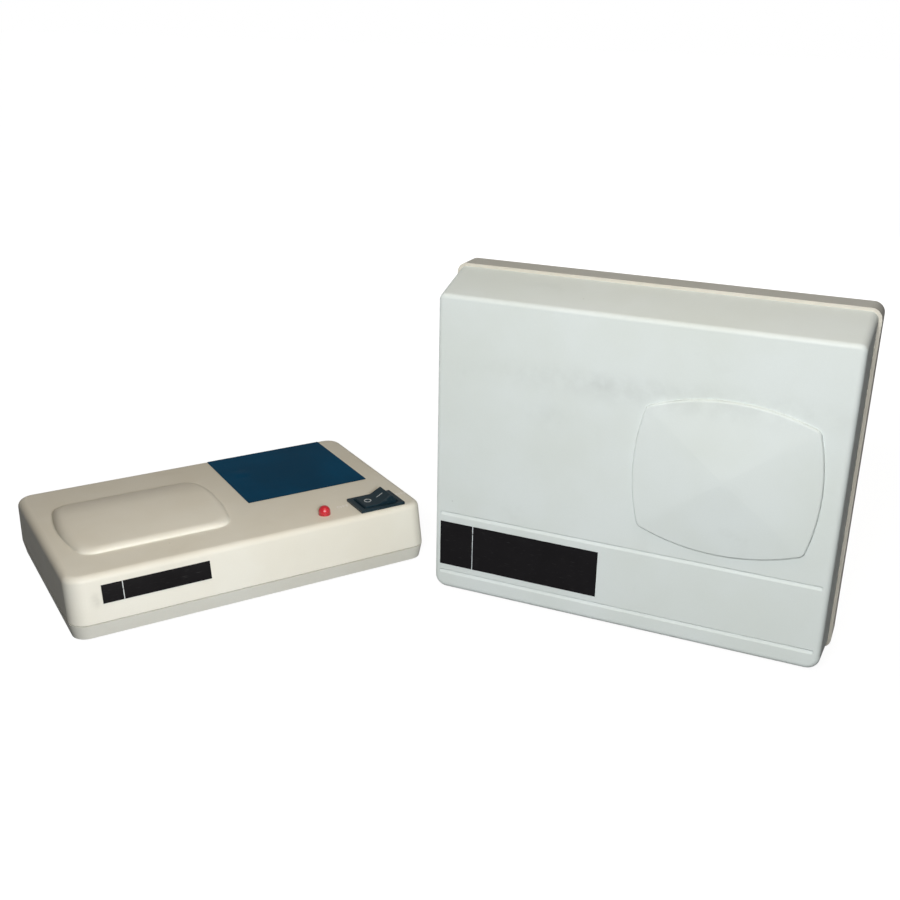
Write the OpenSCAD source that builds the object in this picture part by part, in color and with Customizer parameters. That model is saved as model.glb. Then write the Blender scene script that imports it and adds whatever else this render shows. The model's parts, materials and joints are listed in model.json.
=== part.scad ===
// Mast-head television signal amplifier: an outdoor amplifier box and its indoor power unit.
// Millimetres, +Z up. The origin is the middle of the outdoor unit's underside, with +Y to its back.
// The indoor unit stands beside it, turned about the upright.

/* [Placement] */
// Sideways place of the indoor unit's middle
indoor_x = -173.5; // [-230:0.5:-172]
// Fore and aft place of the indoor unit's middle
indoor_y = -46; // [-80:1:-40]
// Turn of the indoor unit about the upright, in degrees
indoor_turn = 54.7; // [40:0.1:70]

/* [Indoor case] */
// Length of the case at its seam
in_l = 152; // [148:1:180]
// Depth of the case at its seam
in_d = 94; // [92:1:120]
// Height of the flat top above the table
in_h = 25.2; // [24.4:0.2:34]
// Height of the seam above the table
in_seam_h = 7.2; // [6.6:0.2:8]
// Plan radius of the case corners
in_corner_r = 7; // [6:0.5:9]
// Rounding of the top edges
in_edge_r = 3; // [1:0.25:3]
// How far the front wall leans back between seam and top
in_lean = 3.5; // [0:0.5:5]
// How far the base draws in towards its underside
in_taper = 1.2; // [0:0.2:2]
// Wall of both case halves
in_wall = 2.2; // [1.6:0.1:2.6]
// Gap that shows along the seam
seam_gap = 0.5; // [0.3:0.1:0.8]
// Height of the locating lips above the seam
lip_h = 2.2; // [1:0.1:2.6]
// Thickness of the locating lips
lip_t = 1.4; // [1:0.1:2]
// Height of the rubber feet below the base
foot_h = 0.8; // [0.4:0.1:1.6]
// Radius of a foot
foot_r = 4.5; // [3:0.5:6]
// Depth to which a foot is let into the base
foot_let = 0.8; // [0.4:0.1:1.2]
// Distance of the feet from the case's ends
foot_end = 28; // [24:1:32]
// Distance of the feet from the front and back of the case
foot_side = 13; // [12:0.5:16]
// Distance of the case screws from the case sides
case_screw_in = 11; // [10:0.5:13]
// Distance of the front case screws from the middle
front_screw_x = 20; // [10:1:24]

/* [Indoor top] */
// Distance of the raised cushion from the case's left end
pillow_side = 7.5; // [4:0.5:9]
// Distance between the cushion and the blue panel
pillow_gap = 10.5; // [9:0.5:16]
// Depth of the cushion
pillow_d = 51; // [46:1:56]
// How far each short end of the cushion bows out
pillow_bow = 4; // [2:0.5:5]
// Height of the cushion above the flat top
pillow_h = 4.2; // [4:0.2:7]
// Width over which the cushion's front rolls down to the flat top
pillow_front = 3; // [2:0.5:8]
// Width over which the cushion's back falls to the flat top
pillow_back = 19; // [8:0.5:24]
// Width over which the cushion's short ends roll down to the flat top
pillow_end = 5; // [3:0.5:9]
// Corner radius of the cushion
pillow_corner_r = 7; // [4:0.5:9]
// Distance of the blue panel's middle from the case's right end
panel_end = 38.5; // [36:0.5:40]
// Length of the blue panel
panel_l = 56; // [48:1:60]
// Depth of the blue panel
panel_d = 52.6; // [44:0.2:54]
// Distance of the panel from the back of the case
panel_back = 2.8; // [2.8:0.1:6]
// Thickness of the stuck-on panels
label_t = 0.3; // [0.2:0.05:0.6]
// Thickness of the glue under the panels
glue_t = 0.05; // [0.02:0.01:0.1]
// Distance of the front panel's middle from the case's left end
in_label_end = 34; // [30:1:40]
// Length of the front panel
in_label_l = 42.4; // [36:0.2:50]
// Height of the front panel
in_label_h = 7.2; // [5:0.2:9]
// Height of the front panel's lower edge above the seam, along the wall
in_label_up = 7; // [3:0.5:8]
// Distance of lamp and switch from the front of the case
control_in = 13.2; // [12.8:0.2:16]
// Distance of the lamp from the switch
lamp_step = 24.2; // [19.2:0.2:31.2]
// Radius of the lamp
lamp_r = 2.5; // [1.5:0.1:3]
// Height of the lamp above the flat top
lamp_proud = 3.8; // [3:0.1:6]
// Length of the lamp's wire legs
lamp_leg = 9; // [5:0.5:12]

/* [Rocker switch] */
// Distance of the switch from the case's right end
switch_end = 18.4; // [18:0.2:22]
// Length of the bezel
bezel_l = 20.6; // [20.6:0.1:23]
// Width of the bezel
bezel_w = 14.6; // [14.6:0.1:17]
// Thickness of the bezel
bezel_t = 1.2; // [1:0.1:2]
// Length of the switch body below the panel
switch_l = 19; // [18.6:0.1:19.6]
// Width of the switch body below the panel
switch_w = 13; // [12.8:0.1:13.6]
// Depth of the switch body below the panel
switch_deep = 12; // [11:0.5:13]
// Radius of the paddle's swept ends
paddle_r = 8; // [7.4:0.1:8.2]
// Width of the paddle
paddle_w = 10.4; // [9.4:0.1:10.6]
// Depth of the pivot below the bezel's top
pivot_deep = 2.9; // [2.8:0.1:3.6]
// Tilt of the paddle to each side, in degrees
paddle_tilt = 14; // [8:0.5:15]
// Fall of each half of the paddle's top towards its middle, in degrees
paddle_fall = 13; // [8:1:15]
// Angle from the paddle's middle to the crest of each end, in degrees
paddle_crest = 50; // [45:1:54]
// Radius of the pivot pins
pivot_r = 1.2; // [0.9:0.05:1.5]
// Length of a connecting tab
tab_l = 6.5; // [5:0.5:7]

/* [Indoor insides] */
// Middle of the transformer from the case's middle, towards the back
core_y = 3; // [0:1:6]
// Width of the transformer's iron
core_w = 36; // [33:1:38]
// Height of the transformer's iron
core_h = 20; // [18:0.5:21]
// Thickness of the stack of iron sheets
core_stack = 14; // [10:1:18]
// Width of the iron's outer legs, and half that of its middle leg
core_leg = 6; // [5:0.25:6.25]
// How far the winding stands out on each side of the stack
coil_out = 6; // [4:0.5:8]
// Thickness of the bobbin
bobbin_t = 0.8; // [0.6:0.1:1]
// Thickness of the mounting strap
clip_t = 0.8; // [0.6:0.1:1.2]
// Width of the mounting strap
clip_w = 11; // [9:0.5:13]
// Length of each ear of the mounting strap
clip_ear = 8; // [7:0.5:9]
// Height of the posts under the strap's ears
clip_post = 3; // [2:0.5:4]
// Length of the supply board
supply_l = 58; // [54:1:62]
// Depth of the supply board
supply_d = 46; // [42:1:50]
// Distance of the supply board's middle from the case's right end
supply_end = 40; // [38:1:42]
// Distance of the supply board's middle from the back of the case
supply_back = 39; // [37:1:43]
// Height of the posts under the supply board
supply_post = 3.4; // [2.8:0.2:4]
// Thickness of both circuit boards
board_t = 1.6; // [1:0.2:2]
// Distance of board screws from the board edges
board_screw_in = 4; // [3.5:0.25:5]
// Radius of the smoothing capacitor
smooth_r = 5; // [4:0.5:6]
// Height of the smoothing capacitor
smooth_h = 12; // [10:0.5:13]
// Outer radius of the choke ring
choke_r = 6; // [5:0.5:7]
// Height of the choke ring
choke_h = 5; // [4:0.5:7]

/* [Indoor back] */
// Height of the sockets and the cord hole above the table
rear_row_h = 16.2; // [16.2:0.1:17]
// Distance of the first coax socket from the case's right end
socket_end = 56; // [52:1:60]
// Distance between the two coax sockets
socket_step = 27; // [22:1:30]
// Radius of a socket's barrel
socket_r = 4.76; // [4.5:0.02:5]
// Depth of the thread's run-out groove under the nut
socket_relief = 0.3; // [0.2:0.05:0.5]
// How far the run-out groove reaches past the nut
socket_run_out = 1; // [0.6:0.1:1.5]
// Length of a socket's barrel outside the case
socket_out = 7.5; // [7:0.5:12]
// Width across the flats of socket nut and flange
socket_flat = 11; // [10.6:0.2:11.4]
// Thickness of socket nut and flange
socket_nut_t = 2; // [1.5:0.1:2.5]
// Distance of the mains cord hole from the case's left end
inlet_end = 26; // [24:1:30]
// Radius of the mains cord's bore
inlet_r = 3.3; // [2.5:0.1:3.6]

/* [Outdoor case] */
// Width of the rim
out_w = 157.4; // [150:0.2:200]
// Height of the rim
out_h = 132.5; // [126:0.5:180]
// Depth of the rim
rim_d = 11; // [9:0.5:16]
// Corner radius of the rim
rim_corner_r = 4; // [4:0.5:9]
// How far the rim stands proud of the cover
rim_lip = 1.2; // [1:0.1:2.2]
// Wall of the rim and thickness of the floor
rim_wall = 4.4; // [4.2:0.1:5.5]
// Depth of the case behind the rim
rear_d = 15; // [13:0.5:24]
// How far the case behind the rim is drawn in at sides and top
rear_in = 8; // [6:0.5:12]
// Wall of the case behind the rim
case_wall = 2.4; // [1.8:0.1:3]
// Depth of the cover in front of the rim
cover_d = 22; // [18:0.5:32]
// How far the cover's sides draw in towards its face
cover_draft = 0.6; // [0:0.1:1.5]
// Fall of the cover's sloping roof
roof_drop = 6; // [2:0.5:10]
// Radius of the lower corners of the cover's face
cover_corner_r = 5; // [4:0.5:7]
// Radius of the corners where the roof meets the cover's sides
roof_corner_r = 2.8; // [2.6:0.2:5]
// Rounding of the face's edges
cover_edge_r = 2; // [1:0.25:2]
// Wall of the cover
cover_wall = 2.2; // [1.6:0.1:2.4]
// Length of the tongues that hold the cover in the rim
tongue_l = 3.4; // [2:0.2:5]
// Thickness of the tongues
tongue_t = 1.4; // [1:0.1:2]

/* [Outdoor face] */
// Middle of the raised badge, from the middle of the face
badge_x = 36; // [28:1:38]
// Height of the badge's middle
badge_z = 70; // [68:1:85]
// Width of the badge between its corners
badge_w = 60.4; // [50:0.2:62]
// Height of the badge between its corners
badge_h = 47; // [40:0.5:52]
// How far the badge's sides bow out
badge_bow_x = 3.4; // [2:0.2:4]
// How far the badge's top and bottom bow out
badge_bow_z = 6; // [3:0.2:7]
// Corner radius of the badge
badge_corner_r = 3; // [1.5:0.5:4]
// Height of the badge's edge above the face
badge_edge = 1.3; // [0.4:0.1:1.4]
// Height of the badge's peak above its edge
badge_peak = 2.2; // [0.5:0.1:3]
// Height of the lower groove
groove_low = 9.2; // [8:0.2:10]
// Height of the upper groove
groove_high = 35.2; // [33:0.2:40]
// Width of the grooves
groove_w = 1.8; // [1.2:0.1:2.4]
// Depth of the grooves
groove_deep = 1; // [0.5:0.1:1.2]
// Distance of the groove ends from the face's sides
groove_end = 2.6; // [2:0.2:6]
// Length of the face panel
out_label_l = 66; // [56:1:70]
// Height of the face panel
out_label_h = 19; // [14:0.5:21]
// Distance of the face panel from the face's left side
out_label_in = 2.6; // [2.4:0.2:6]

/* [Mast clamp] */
// Radius of the mast
mast_r = 16; // [14:0.5:20]
// Height of the clamp's middle
clamp_z = 74; // [60:1:80]
// Height of the moulded saddle
saddle_h = 36; // [28:1:44]
// Depth of the moulded saddle
saddle_d = 10; // [9:0.5:13]
// Thickness left between mast and case
saddle_web = 2; // [1:0.5:4]
// Height of the strap
strap_h = 20; // [14:1:24]
// Thickness of the strap
strap_t = 1.6; // [1.2:0.1:2.4]
// Gap between the strap's ears and the saddle
strap_gap = 3; // [2:0.5:5]
// Distance from the mast's side to a clamp screw
clamp_screw_off = 10; // [9:0.5:13]
// Radius of a clamp screw
clamp_screw_r = 2.45; // [2:0.05:2.6]
// Length of a clamp screw's hold in its insert
clamp_hold = 8; // [6:0.5:9]
// Pitch of the clamp screws
clamp_pitch = 0.8; // [0.5:0.05:1]
// Number of turns that loosen the clamp
clamp_turns = 7; // [3:1:7]
// Width across the flats of a clamp screw's head
clamp_flat = 8; // [7:0.5:9]

/* [Outdoor insides] */
// Length of the amplifier board
amp_l = 116; // [108:1:124]
// Height of the amplifier board
amp_h = 80; // [76:1:84]
// Height of the board's middle
amp_z = 77; // [76:1:80]
// Length of the posts behind the board
amp_post = 4; // [3:0.5:5]
// Distance of each coax cable from the middle
cable_x = 22; // [18:1:28]
// Radius of a coax cable
cable_r = 3.4; // [2.8:0.1:3.5]
// Height of the cable clips above the board's lower edge
saddle_up = 9; // [8:0.5:12]
// Distance from clip to signal screw
signal_up = 12; // [11:0.5:14]
// Height of the matching core above the board's lower edge
matching_row = 13; // [11:1:15]
// Height of the resistors above the board's lower edge
resistor_row = 30; // [29:1:32]
// Distance between the resistors
resistor_step = 17; // [14:0.5:18]
// Height of the transistors above the board's lower edge
transistor_row = 40; // [38:1:42]
// Distance between the transistors
transistor_step = 30; // [24:1:32]
// Height of the electrolytic capacitors above the board's lower edge
capacitor_row = 39; // [38:1:41]
// Distance of the electrolytic capacitors from the middle
capacitor_out = 47; // [44:1:48]
// Height of the ceramic discs above the board's lower edge
disc_row = 51; // [49:1:53]
// Distance between the ceramic discs
disc_step = 22; // [18:1:23]
// Height of the air coils above the board's lower edge
coil_row = 62; // [60:1:68]
// Distance between the air coils
coil_step = 28; // [22:1:30]
// Turns of an air coil
coil_turns = 5; // [3:1:6]
// Middle radius of an air coil
coil_r = 3; // [2.5:0.1:3.5]
// Radius of the coil wire
coil_wire_r = 0.35; // [0.25:0.05:0.4]
// Distance between the turns of a coil
coil_pitch = 1.4; // [1.3:0.1:1.8]

/* [Clearances] */
// Clearance of locating lips and tongues
lip_clear = 0.25; // [0.15:0.05:0.4]
// Clearance of a piece in its cut-out
cut_clear = 0.1; // [0.05:0.05:0.2]
// Clearance of a screw in its pilot hole
pilot_clear = 0.05; // [0.03:0.01:0.1]
// Clearance of a turning pin in its hole
pin_clear = 0.05; // [0.02:0.01:0.1]
// Clearance around the moving paddle
paddle_clear = 0.25; // [0.15:0.05:0.35]

/* [Hidden] */
$fn = 48;
HULL_FN = 32;
SLICE = 0.01;
OVER = 1;
MOULD_R = 0.6;

// Colours
BEIGE = "#cdc4a8";
WHITE = "#dbe2de";
NAVY = "#16294a";
BLACK = "#17181a";
RUBBER = "#2a2a2c";
STEEL = "#b4b6b8";
BRASS = "#c8a558";
TIN = "#c9ccd0";
IRON = "#5c6066";
COPPER = "#b5683a";
TAPE = "#d8c35a";
NYLON = "#e9e6da";
BOARD = "#8a6a3a";
GLASS_BOARD = "#3f6b43";
RED = "#c92632";

// Indoor levels and places
floor_z = foot_h + in_wall;
ceiling_z = in_h - in_wall;
base_top_z = in_seam_h - seam_gap;
lean_y = in_lean + in_edge_r;
lean_z = in_h - in_edge_r - in_seam_h;
lean_angle = atan(lean_y / lean_z) - asin(in_edge_r / norm([lean_y, lean_z]));
rear_y = in_d / 2;
control_y = control_in - in_d / 2;
screw_seat_z = foot_h + 2.6;
case_screw_r = 1.45;
case_screw_l = 12;
case_head_r = 2.8;
case_head_h = 2;
boss_r = 3.6;
panel_x = in_l / 2 - panel_end;
pillow_l = in_l / 2 + panel_x - panel_l / 2 - pillow_gap - pillow_side - 2 * pillow_bow;
pillow_x = pillow_side + pillow_bow + pillow_l / 2 - in_l / 2;
panel_y = in_d / 2 - panel_back - panel_d / 2;
in_label_x = in_label_end - in_l / 2;
switch_x = in_l / 2 - switch_end;
lamp_x = switch_x - lamp_step;
supply_x = in_l / 2 - supply_end;
supply_y = in_d / 2 - supply_back;

// Switch
pivot_z = in_h + bezel_t - pivot_deep;
paddle_len = paddle_r + paddle_clear;
well_w = paddle_w + 2 * paddle_clear;
crest = [paddle_r * sin(paddle_crest), paddle_r * cos(paddle_crest)];
valley_z = crest[1] - crest[0] * tan(paddle_fall);
paddle_skirt = 2.2;
well_floor_z = pivot_z - norm([paddle_r, paddle_skirt]) * sin(paddle_tilt + 16) - 1;
tab_w = 4.8;
tab_t = 0.8;

// Transformer
core_z = floor_z;
window_h = core_h - 2 * core_leg;
window_w = (core_w - 4 * core_leg) / 2;
coil_gap = 0.25;
clip_screw_x = core_w / 2 + clip_t + clip_ear / 2 + 0.5;
clip_ear_z = floor_z + clip_post;

// Boards
supply_z = floor_z + supply_post;
supply_top_z = supply_z + board_t;
board_screw_r = 1.2;
board_screw_l = 5;
board_head_r = 2.3;
board_head_h = 1.6;
board_boss_r = 2.8;
lead_r = 0.3;

// Indoor back
socket_x = in_l / 2 - socket_end;
inlet_x = inlet_end - in_l / 2;
rear_holes = [socket_x, socket_x + socket_step];
socket_flange_in_y = rear_y - in_wall - socket_nut_t;
inlet_neck_r = inlet_r + 1.5;
inlet_flange_r = inlet_r + 2.9;
inlet_flange_t = 1.6;

// Outdoor levels and places
part_y = -(rim_d + rear_d) / 2;
rim_back_y = part_y + rim_d;
back_y = part_y + rim_d + rear_d;
front_y = part_y - cover_d;
inner_back_y = back_y - case_wall;
amp_y = inner_back_y - amp_post - board_t;
amp_low_z = amp_z - amp_h / 2;
rear_top_z = out_h - rear_in;
cover_half_w = out_w / 2 - rim_lip;
face_half_w = cover_half_w - cover_draft;
face_low_z = rim_lip + cover_draft;
face_top_z = out_h - rim_lip - roof_drop;
tongue_root = 2;
mouth_corner_r = rim_corner_r - rim_lip;
tongue_end = rim_corner_r + 14;
label_low_z = (groove_low + groove_high - out_label_h) / 2;

// Mast clamp
mast_y = back_y + saddle_web + mast_r;
saddle_y = back_y + saddle_d;
ear_y = saddle_y + strap_gap;
clamp_x = mast_r + clamp_screw_off;
insert_r = clamp_screw_r + 1.3;
ear_half = clamp_x + clamp_flat;
washer_r = clamp_flat * 0.62;
washer_t = 1;
clamp_head_h = 4;

// Cable entries
clip_t_cable = 1;
cable_y = amp_y - cable_r - cut_clear;
grommet_neck_r = cable_r + 1.4;
grommet_flange_r = cable_r + 2.8;
grommet_flange_t = 1.4;
clip_z = amp_low_z + saddle_up;
clip_screw_off = cable_r + clip_t_cable + 3.2;
signal_z = clip_z + signal_up;

// Component places on the amplifier board: across the board, and above its lower edge
row_shift = -3;
transistor_places = [for (i = [-1:1]) [i * transistor_step + row_shift, transistor_row]];
coil_places = [for (i = [-1.5:1.5]) [i * coil_step, coil_row]];
disc_places = [for (i = [-2:2]) [i * disc_step + row_shift, disc_row]];
resistor_places = [for (i = [-2.5:2.5]) [i * resistor_step + row_shift, resistor_row]];
capacitor_places = [for (s = [-1, 1]) [s * capacitor_out, capacitor_row]];
matching_place = [0, matching_row];
transistor_r = 2.4;
transistor_h = 5;
lead_h = 2.5;
disc_r = 3;
disc_t = 1.6;
resistor_r = 1.1;
resistor_l = 6.2;
resistor_span = 10;
capacitor_r = 3.2;
capacitor_h = 11;

// Component places on the supply board: along it and towards the back, from its middle
diode_out = 20;
diode_step = 6;
diode_places = [for (i = [-1.5:1.5]) [-diode_out, i * diode_step]];
diode_r = 1.4;
diode_l = 5.2;
diode_span = 10;
smooth_place = [-3, 6];
choke_place = [14, -10];
supply_disc_places = [[6, -14], [22, 8]];

// Least distance of a coil's wire from its own next turn
function coil_point(t) = [coil_pitch * coil_turns * (t - 0.5), -coil_r * cos(360 * coil_turns * t),
    coil_r * sin(360 * coil_turns * t)];
coil_rings = 8 * coil_turns;
coil_self_gap = min([for (i = [0:coil_rings]) for (j = [i + 6:1:coil_rings])
    norm(coil_point(i / coil_rings) - coil_point(j / coil_rings))]) - 2 * coil_wire_r;
echo(coil_self_gap = coil_self_gap);

// Radius of a bow that rises over a chord
function arc_radius(chord, rise) = (chord * chord / 4 + rise * rise) / (2 * rise);

// Inside radius of a corner with this wall, and no less than a mould's own
function inside_r(r, wall) = max(r - wall, MOULD_R);

// Places the indoor unit's pieces, whose own frame has its origin on the table under the case's middle
module indoor() {
    translate([indoor_x, indoor_y, 0]) rotate([0, 0, indoor_turn]) children();
}

// Places pieces on the amplifier board: across it, above its lower edge and out of its face
module on_amp() {
    translate([0, amp_y, amp_low_z]) rotate([90, 0, 0]) children();
}

// Places pieces on the supply board
module on_supply() {
    translate([supply_x, supply_y, supply_top_z]) children();
}

module four_corners(dx, dy) {
    for (sx = [-1, 1]) for (sy = [-1, 1]) translate([sx * dx, sy * dy, 0]) children();
}

// Rectangle with round corners, centred
module round_rect(l, w, r) {
    square([l - 2 * r, w], center = true);
    square([l, w - 2 * r], center = true);
    for (sx = [-1, 1]) for (sy = [-1, 1]) translate([sx * (l / 2 - r), sy * (w / 2 - r)]) circle(r);
}

// Upright plate across the outdoor unit with round corners, from y_low to y_high
module upright_plate(w, z_low, z_high, r, y_low, y_high) {
    translate([0, y_high, (z_low + z_high) / 2]) rotate([90, 0, 0])
        linear_extrude(y_high - y_low) round_rect(w, z_high - z_low, r);
}

// Screw with its head's seat at the origin, head above and shank below
module pan_screw(r, l, head_r, head_h) {
    slot_w = head_r * 0.3;
    translate([0, 0, -l]) cylinder(r = r, h = l + SLICE);
    difference() {
        cylinder(r = head_r, h = head_h);
        translate([-head_r, -slot_w / 2, head_h * 0.5]) cube([2 * head_r, slot_w, head_h]);
        translate([-slot_w / 2, -head_r, head_h * 0.5]) cube([slot_w, 2 * head_r, head_h]);
    }
}

// Ring of soft rubber in a wall: flange at z = 0 to flange_t, wall above it, inner flange beyond
module grommet(bore_r, neck_r, flange_r, flange_t, wall) {
    difference() {
        union() {
            cylinder(r = flange_r, h = flange_t);
            cylinder(r = neck_r, h = flange_t * 2 + wall);
            translate([0, 0, flange_t + wall]) cylinder(r = flange_r, h = flange_t);
        }
        translate([0, 0, -OVER]) cylinder(r = bore_r, h = flange_t * 2 + wall + 2 * OVER);
    }
}

// Indoor case

// Places a shape at the four corners of the indoor top's upper edge, where its front leans back
module indoor_top_corners() {
    half_d = in_d / 2 - in_corner_r;
    for (sx = [-1, 1]) for (y = [in_lean - half_d, half_d])
        translate([sx * (in_l / 2 - in_corner_r), y, 0]) children();
}

// Outer form of the indoor top, with rounded upper edges
module indoor_outside() {
    hull() {
        four_corners(in_l / 2 - in_corner_r, in_d / 2 - in_corner_r) translate([0, 0, in_seam_h])
            cylinder(r = in_corner_r, h = SLICE, $fn = HULL_FN);
        indoor_top_corners() translate([0, 0, in_h - in_edge_r]) rotate_extrude($fn = HULL_FN)
            translate([in_corner_r - in_edge_r, 0]) circle(in_edge_r, $fn = HULL_FN);
    }
}

// Hollow of the indoor top
module indoor_inside() {
    hull() {
        four_corners(in_l / 2 - in_corner_r, in_d / 2 - in_corner_r) translate([0, 0, in_seam_h - OVER])
            cylinder(r = in_corner_r - in_wall, h = SLICE, $fn = HULL_FN);
        indoor_top_corners() translate([0, 0, ceiling_z - SLICE])
            cylinder(r = in_corner_r - in_wall, h = SLICE, $fn = HULL_FN);
    }
}

// Outline of the raised cushion, drawn in at its ends and at its long sides
module pillow_outline(end_in, side_in) {
    bow_r = arc_radius(pillow_d, pillow_bow);
    half_l = pillow_l / 2 + pillow_bow - end_in;
    offset(r = pillow_corner_r, $fn = HULL_FN) offset(delta = -pillow_corner_r) intersection() {
        square([2 * half_l, pillow_d - 2 * side_in], center = true);
        intersection_for(s = [-1, 1]) translate([s * (half_l - bow_r), 0]) circle(bow_r, $fn = 96);
    }
}

// Crowned cushion that rises from the level z, rooted a little below it
module pillow_form(inset, z) {
    steps = 5;
    roll = (pillow_front + pillow_back) / 2;
    forward = (pillow_back - pillow_front) / 2;
    hull() {
        translate([pillow_x, 0, z - OVER]) linear_extrude(OVER) pillow_outline(inset, inset);
        for (i = [1:steps]) {
            rise = 90 * i / steps;
            drawn = 1 - cos(rise);
            translate([pillow_x, -forward * drawn, z + pillow_h * sin(rise) - SLICE]) linear_extrude(SLICE)
                pillow_outline(inset + pillow_end * drawn, inset + roll * drawn);
        }
    }
}

// Case screws: two in the back corners, two nearer the middle of the front
module case_screw_places() {
    for (s = [-1, 1]) {
        translate([s * (in_l / 2 - case_screw_in), in_d / 2 - case_screw_in, 0]) children();
        translate([s * front_screw_x, case_screw_in - in_d / 2, 0]) children();
    }
}

module case_bosses(r, low, high) {
    case_screw_places() translate([0, 0, low]) cylinder(r = r, h = high - low);
}

module rear_hole(x, r) {
    translate([x, rear_y + OVER, rear_row_h]) rotate([90, 0, 0]) cylinder(r = r, h = in_wall + 2 * OVER);
}

module indoor_top() {
    color(BEIGE) indoor() difference() {
        union() {
            difference() {
                union() {
                    indoor_outside();
                    pillow_form(0, in_h);
                }
                indoor_inside();
                pillow_form(in_wall * 0.6, ceiling_z);
            }
            case_bosses(boss_r, in_seam_h, in_h - in_wall / 2);
        }
        case_bosses(case_screw_r + pilot_clear, in_seam_h - OVER, screw_seat_z + case_screw_l + 1.5);
        translate([lamp_x, control_y, ceiling_z - OVER])
            cylinder(r = lamp_r + cut_clear, h = in_wall + 2 * OVER);
        translate([switch_x, control_y, in_h - in_wall / 2])
            cube([switch_l + 2 * cut_clear, switch_w + 2 * cut_clear, in_wall + 2 * OVER], center = true);
        for (x = rear_holes) rear_hole(x, socket_r + cut_clear);
        rear_hole(inlet_x, inlet_neck_r + cut_clear);
    }
}

// Locating lips: bars that stand up from the base inside the top's walls
module lip_bar(l) {
    translate([-l / 2, lip_clear, floor_z - SLICE]) cube([l, lip_t, in_seam_h + lip_h - floor_z]);
    translate([-l / 2, -0.6, floor_z - SLICE]) cube([l, lip_t + lip_clear + 0.6, base_top_z - floor_z]);
}

module lip_bars() {
    lip_end = case_screw_in + boss_r + 2;
    lean_at_lip = in_lean * lip_h / (in_h - in_seam_h);
    back_low = inlet_x + inlet_flange_r + 3;
    back_high = socket_x - socket_flat;
    for (s = [0, 180]) rotate([0, 0, 90 + s]) translate([0, in_wall - in_l / 2, 0]) lip_bar(in_d - 2 * lip_end);
    translate([0, in_wall + lean_at_lip - in_d / 2, 0]) lip_bar(in_l - 2 * lip_end);
    translate([(back_low + back_high) / 2, in_d / 2 - in_wall, 0]) mirror([0, 1, 0]) lip_bar(back_high - back_low);
}

module foot_places() {
    four_corners(in_l / 2 - foot_end, in_d / 2 - foot_side) children();
}

module supply_board_places() {
    translate([supply_x, supply_y, 0])
        four_corners(supply_l / 2 - board_screw_in, supply_d / 2 - board_screw_in) children();
}

module transformer_screw_places() {
    for (s = [-1, 1]) translate([pillow_x + s * clip_screw_x, core_y, 0]) children();
}

module base_skin(inset, low, high) {
    hull() {
        translate([0, 0, high]) four_corners(in_l / 2 - in_corner_r, in_d / 2 - in_corner_r)
            cylinder(r = in_corner_r - inset, h = SLICE, $fn = HULL_FN);
        translate([0, 0, low]) four_corners(in_l / 2 - in_corner_r, in_d / 2 - in_corner_r)
            cylinder(r = in_corner_r - inset - in_taper, h = SLICE, $fn = HULL_FN);
    }
}

module indoor_base() {
    color(BEIGE) indoor() difference() {
        union() {
            difference() {
                base_skin(0, foot_h, base_top_z - SLICE);
                base_skin(in_wall, floor_z, base_top_z + OVER);
            }
            lip_bars();
            case_bosses(boss_r, floor_z - SLICE, in_seam_h);
            supply_board_places() translate([0, 0, floor_z - SLICE])
                cylinder(r = board_boss_r, h = supply_post + SLICE);
            transformer_screw_places() translate([0, 0, floor_z - SLICE])
                cylinder(r = board_boss_r, h = clip_post + SLICE);
        }
        case_bosses(case_screw_r + 2 * cut_clear, foot_h - OVER, in_seam_h + OVER);
        case_bosses(case_head_r + 2 * cut_clear, foot_h - OVER, screw_seat_z);
        foot_places() translate([0, 0, foot_h - OVER]) cylinder(r = foot_r + cut_clear, h = OVER + foot_let);
        supply_board_places() translate([0, 0, floor_z])
            cylinder(r = board_screw_r + pilot_clear, h = supply_post + OVER);
        transformer_screw_places() translate([0, 0, floor_z])
            cylinder(r = board_screw_r + pilot_clear, h = clip_post + OVER);
    }
}

module indoor_feet() {
    color(RUBBER) indoor() foot_places() cylinder(r = foot_r, h = foot_h + foot_let);
}

module indoor_case_screws() {
    color(STEEL) indoor() case_screw_places() translate([0, 0, screw_seat_z]) rotate([180, 0, 0])
        pan_screw(case_screw_r, case_screw_l, case_head_r, case_head_h);
}

module indoor_panel() {
    color(NAVY) indoor() translate([panel_x, panel_y, in_h + glue_t + label_t / 2])
        cube([panel_l, panel_d, label_t], center = true);
}

module indoor_label() {
    color(BLACK) indoor() translate([in_label_x, -in_d / 2, in_seam_h]) rotate([-lean_angle, 0, 0])
        translate([-in_label_l / 2, -glue_t - label_t, in_label_up]) cube([in_label_l, label_t, in_label_h]);
}

// Rocker switch

module at_pivot() {
    translate([switch_x, control_y, pivot_z]) children();
}

module switch_housing() {
    body_low = in_h - switch_deep;
    color(BLACK) indoor() difference() {
        union() {
            translate([switch_x, control_y, in_h + bezel_t / 2]) cube([bezel_l, bezel_w, bezel_t], center = true);
            translate([switch_x - switch_l / 2, control_y - switch_w / 2, body_low])
                cube([switch_l, switch_w, switch_deep + SLICE]);
            for (s = [-1, 1]) translate([switch_x, control_y + s * switch_w / 2, ceiling_z - 1.5])
                cube([switch_l / 3, 0.8, 3], center = true);
        }
        translate([switch_x - paddle_len, control_y - well_w / 2, well_floor_z])
            cube([2 * paddle_len, well_w, in_h + bezel_t - well_floor_z + OVER]);
        at_pivot() rotate([90, 0, 0]) cylinder(r = pivot_r + pin_clear, h = switch_w + 2 * OVER, center = true);
    }
}

// Paddle seen from the front, level, with its pivot at the origin
module paddle_profile() {
    intersection() {
        circle(paddle_r, $fn = 96);
        polygon([[-paddle_r, -paddle_skirt], [paddle_r, -paddle_skirt], [paddle_r, crest[1]], crest,
            [0, valley_z], [-crest[0], crest[1]], [-paddle_r, crest[1]]]);
    }
}

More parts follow.
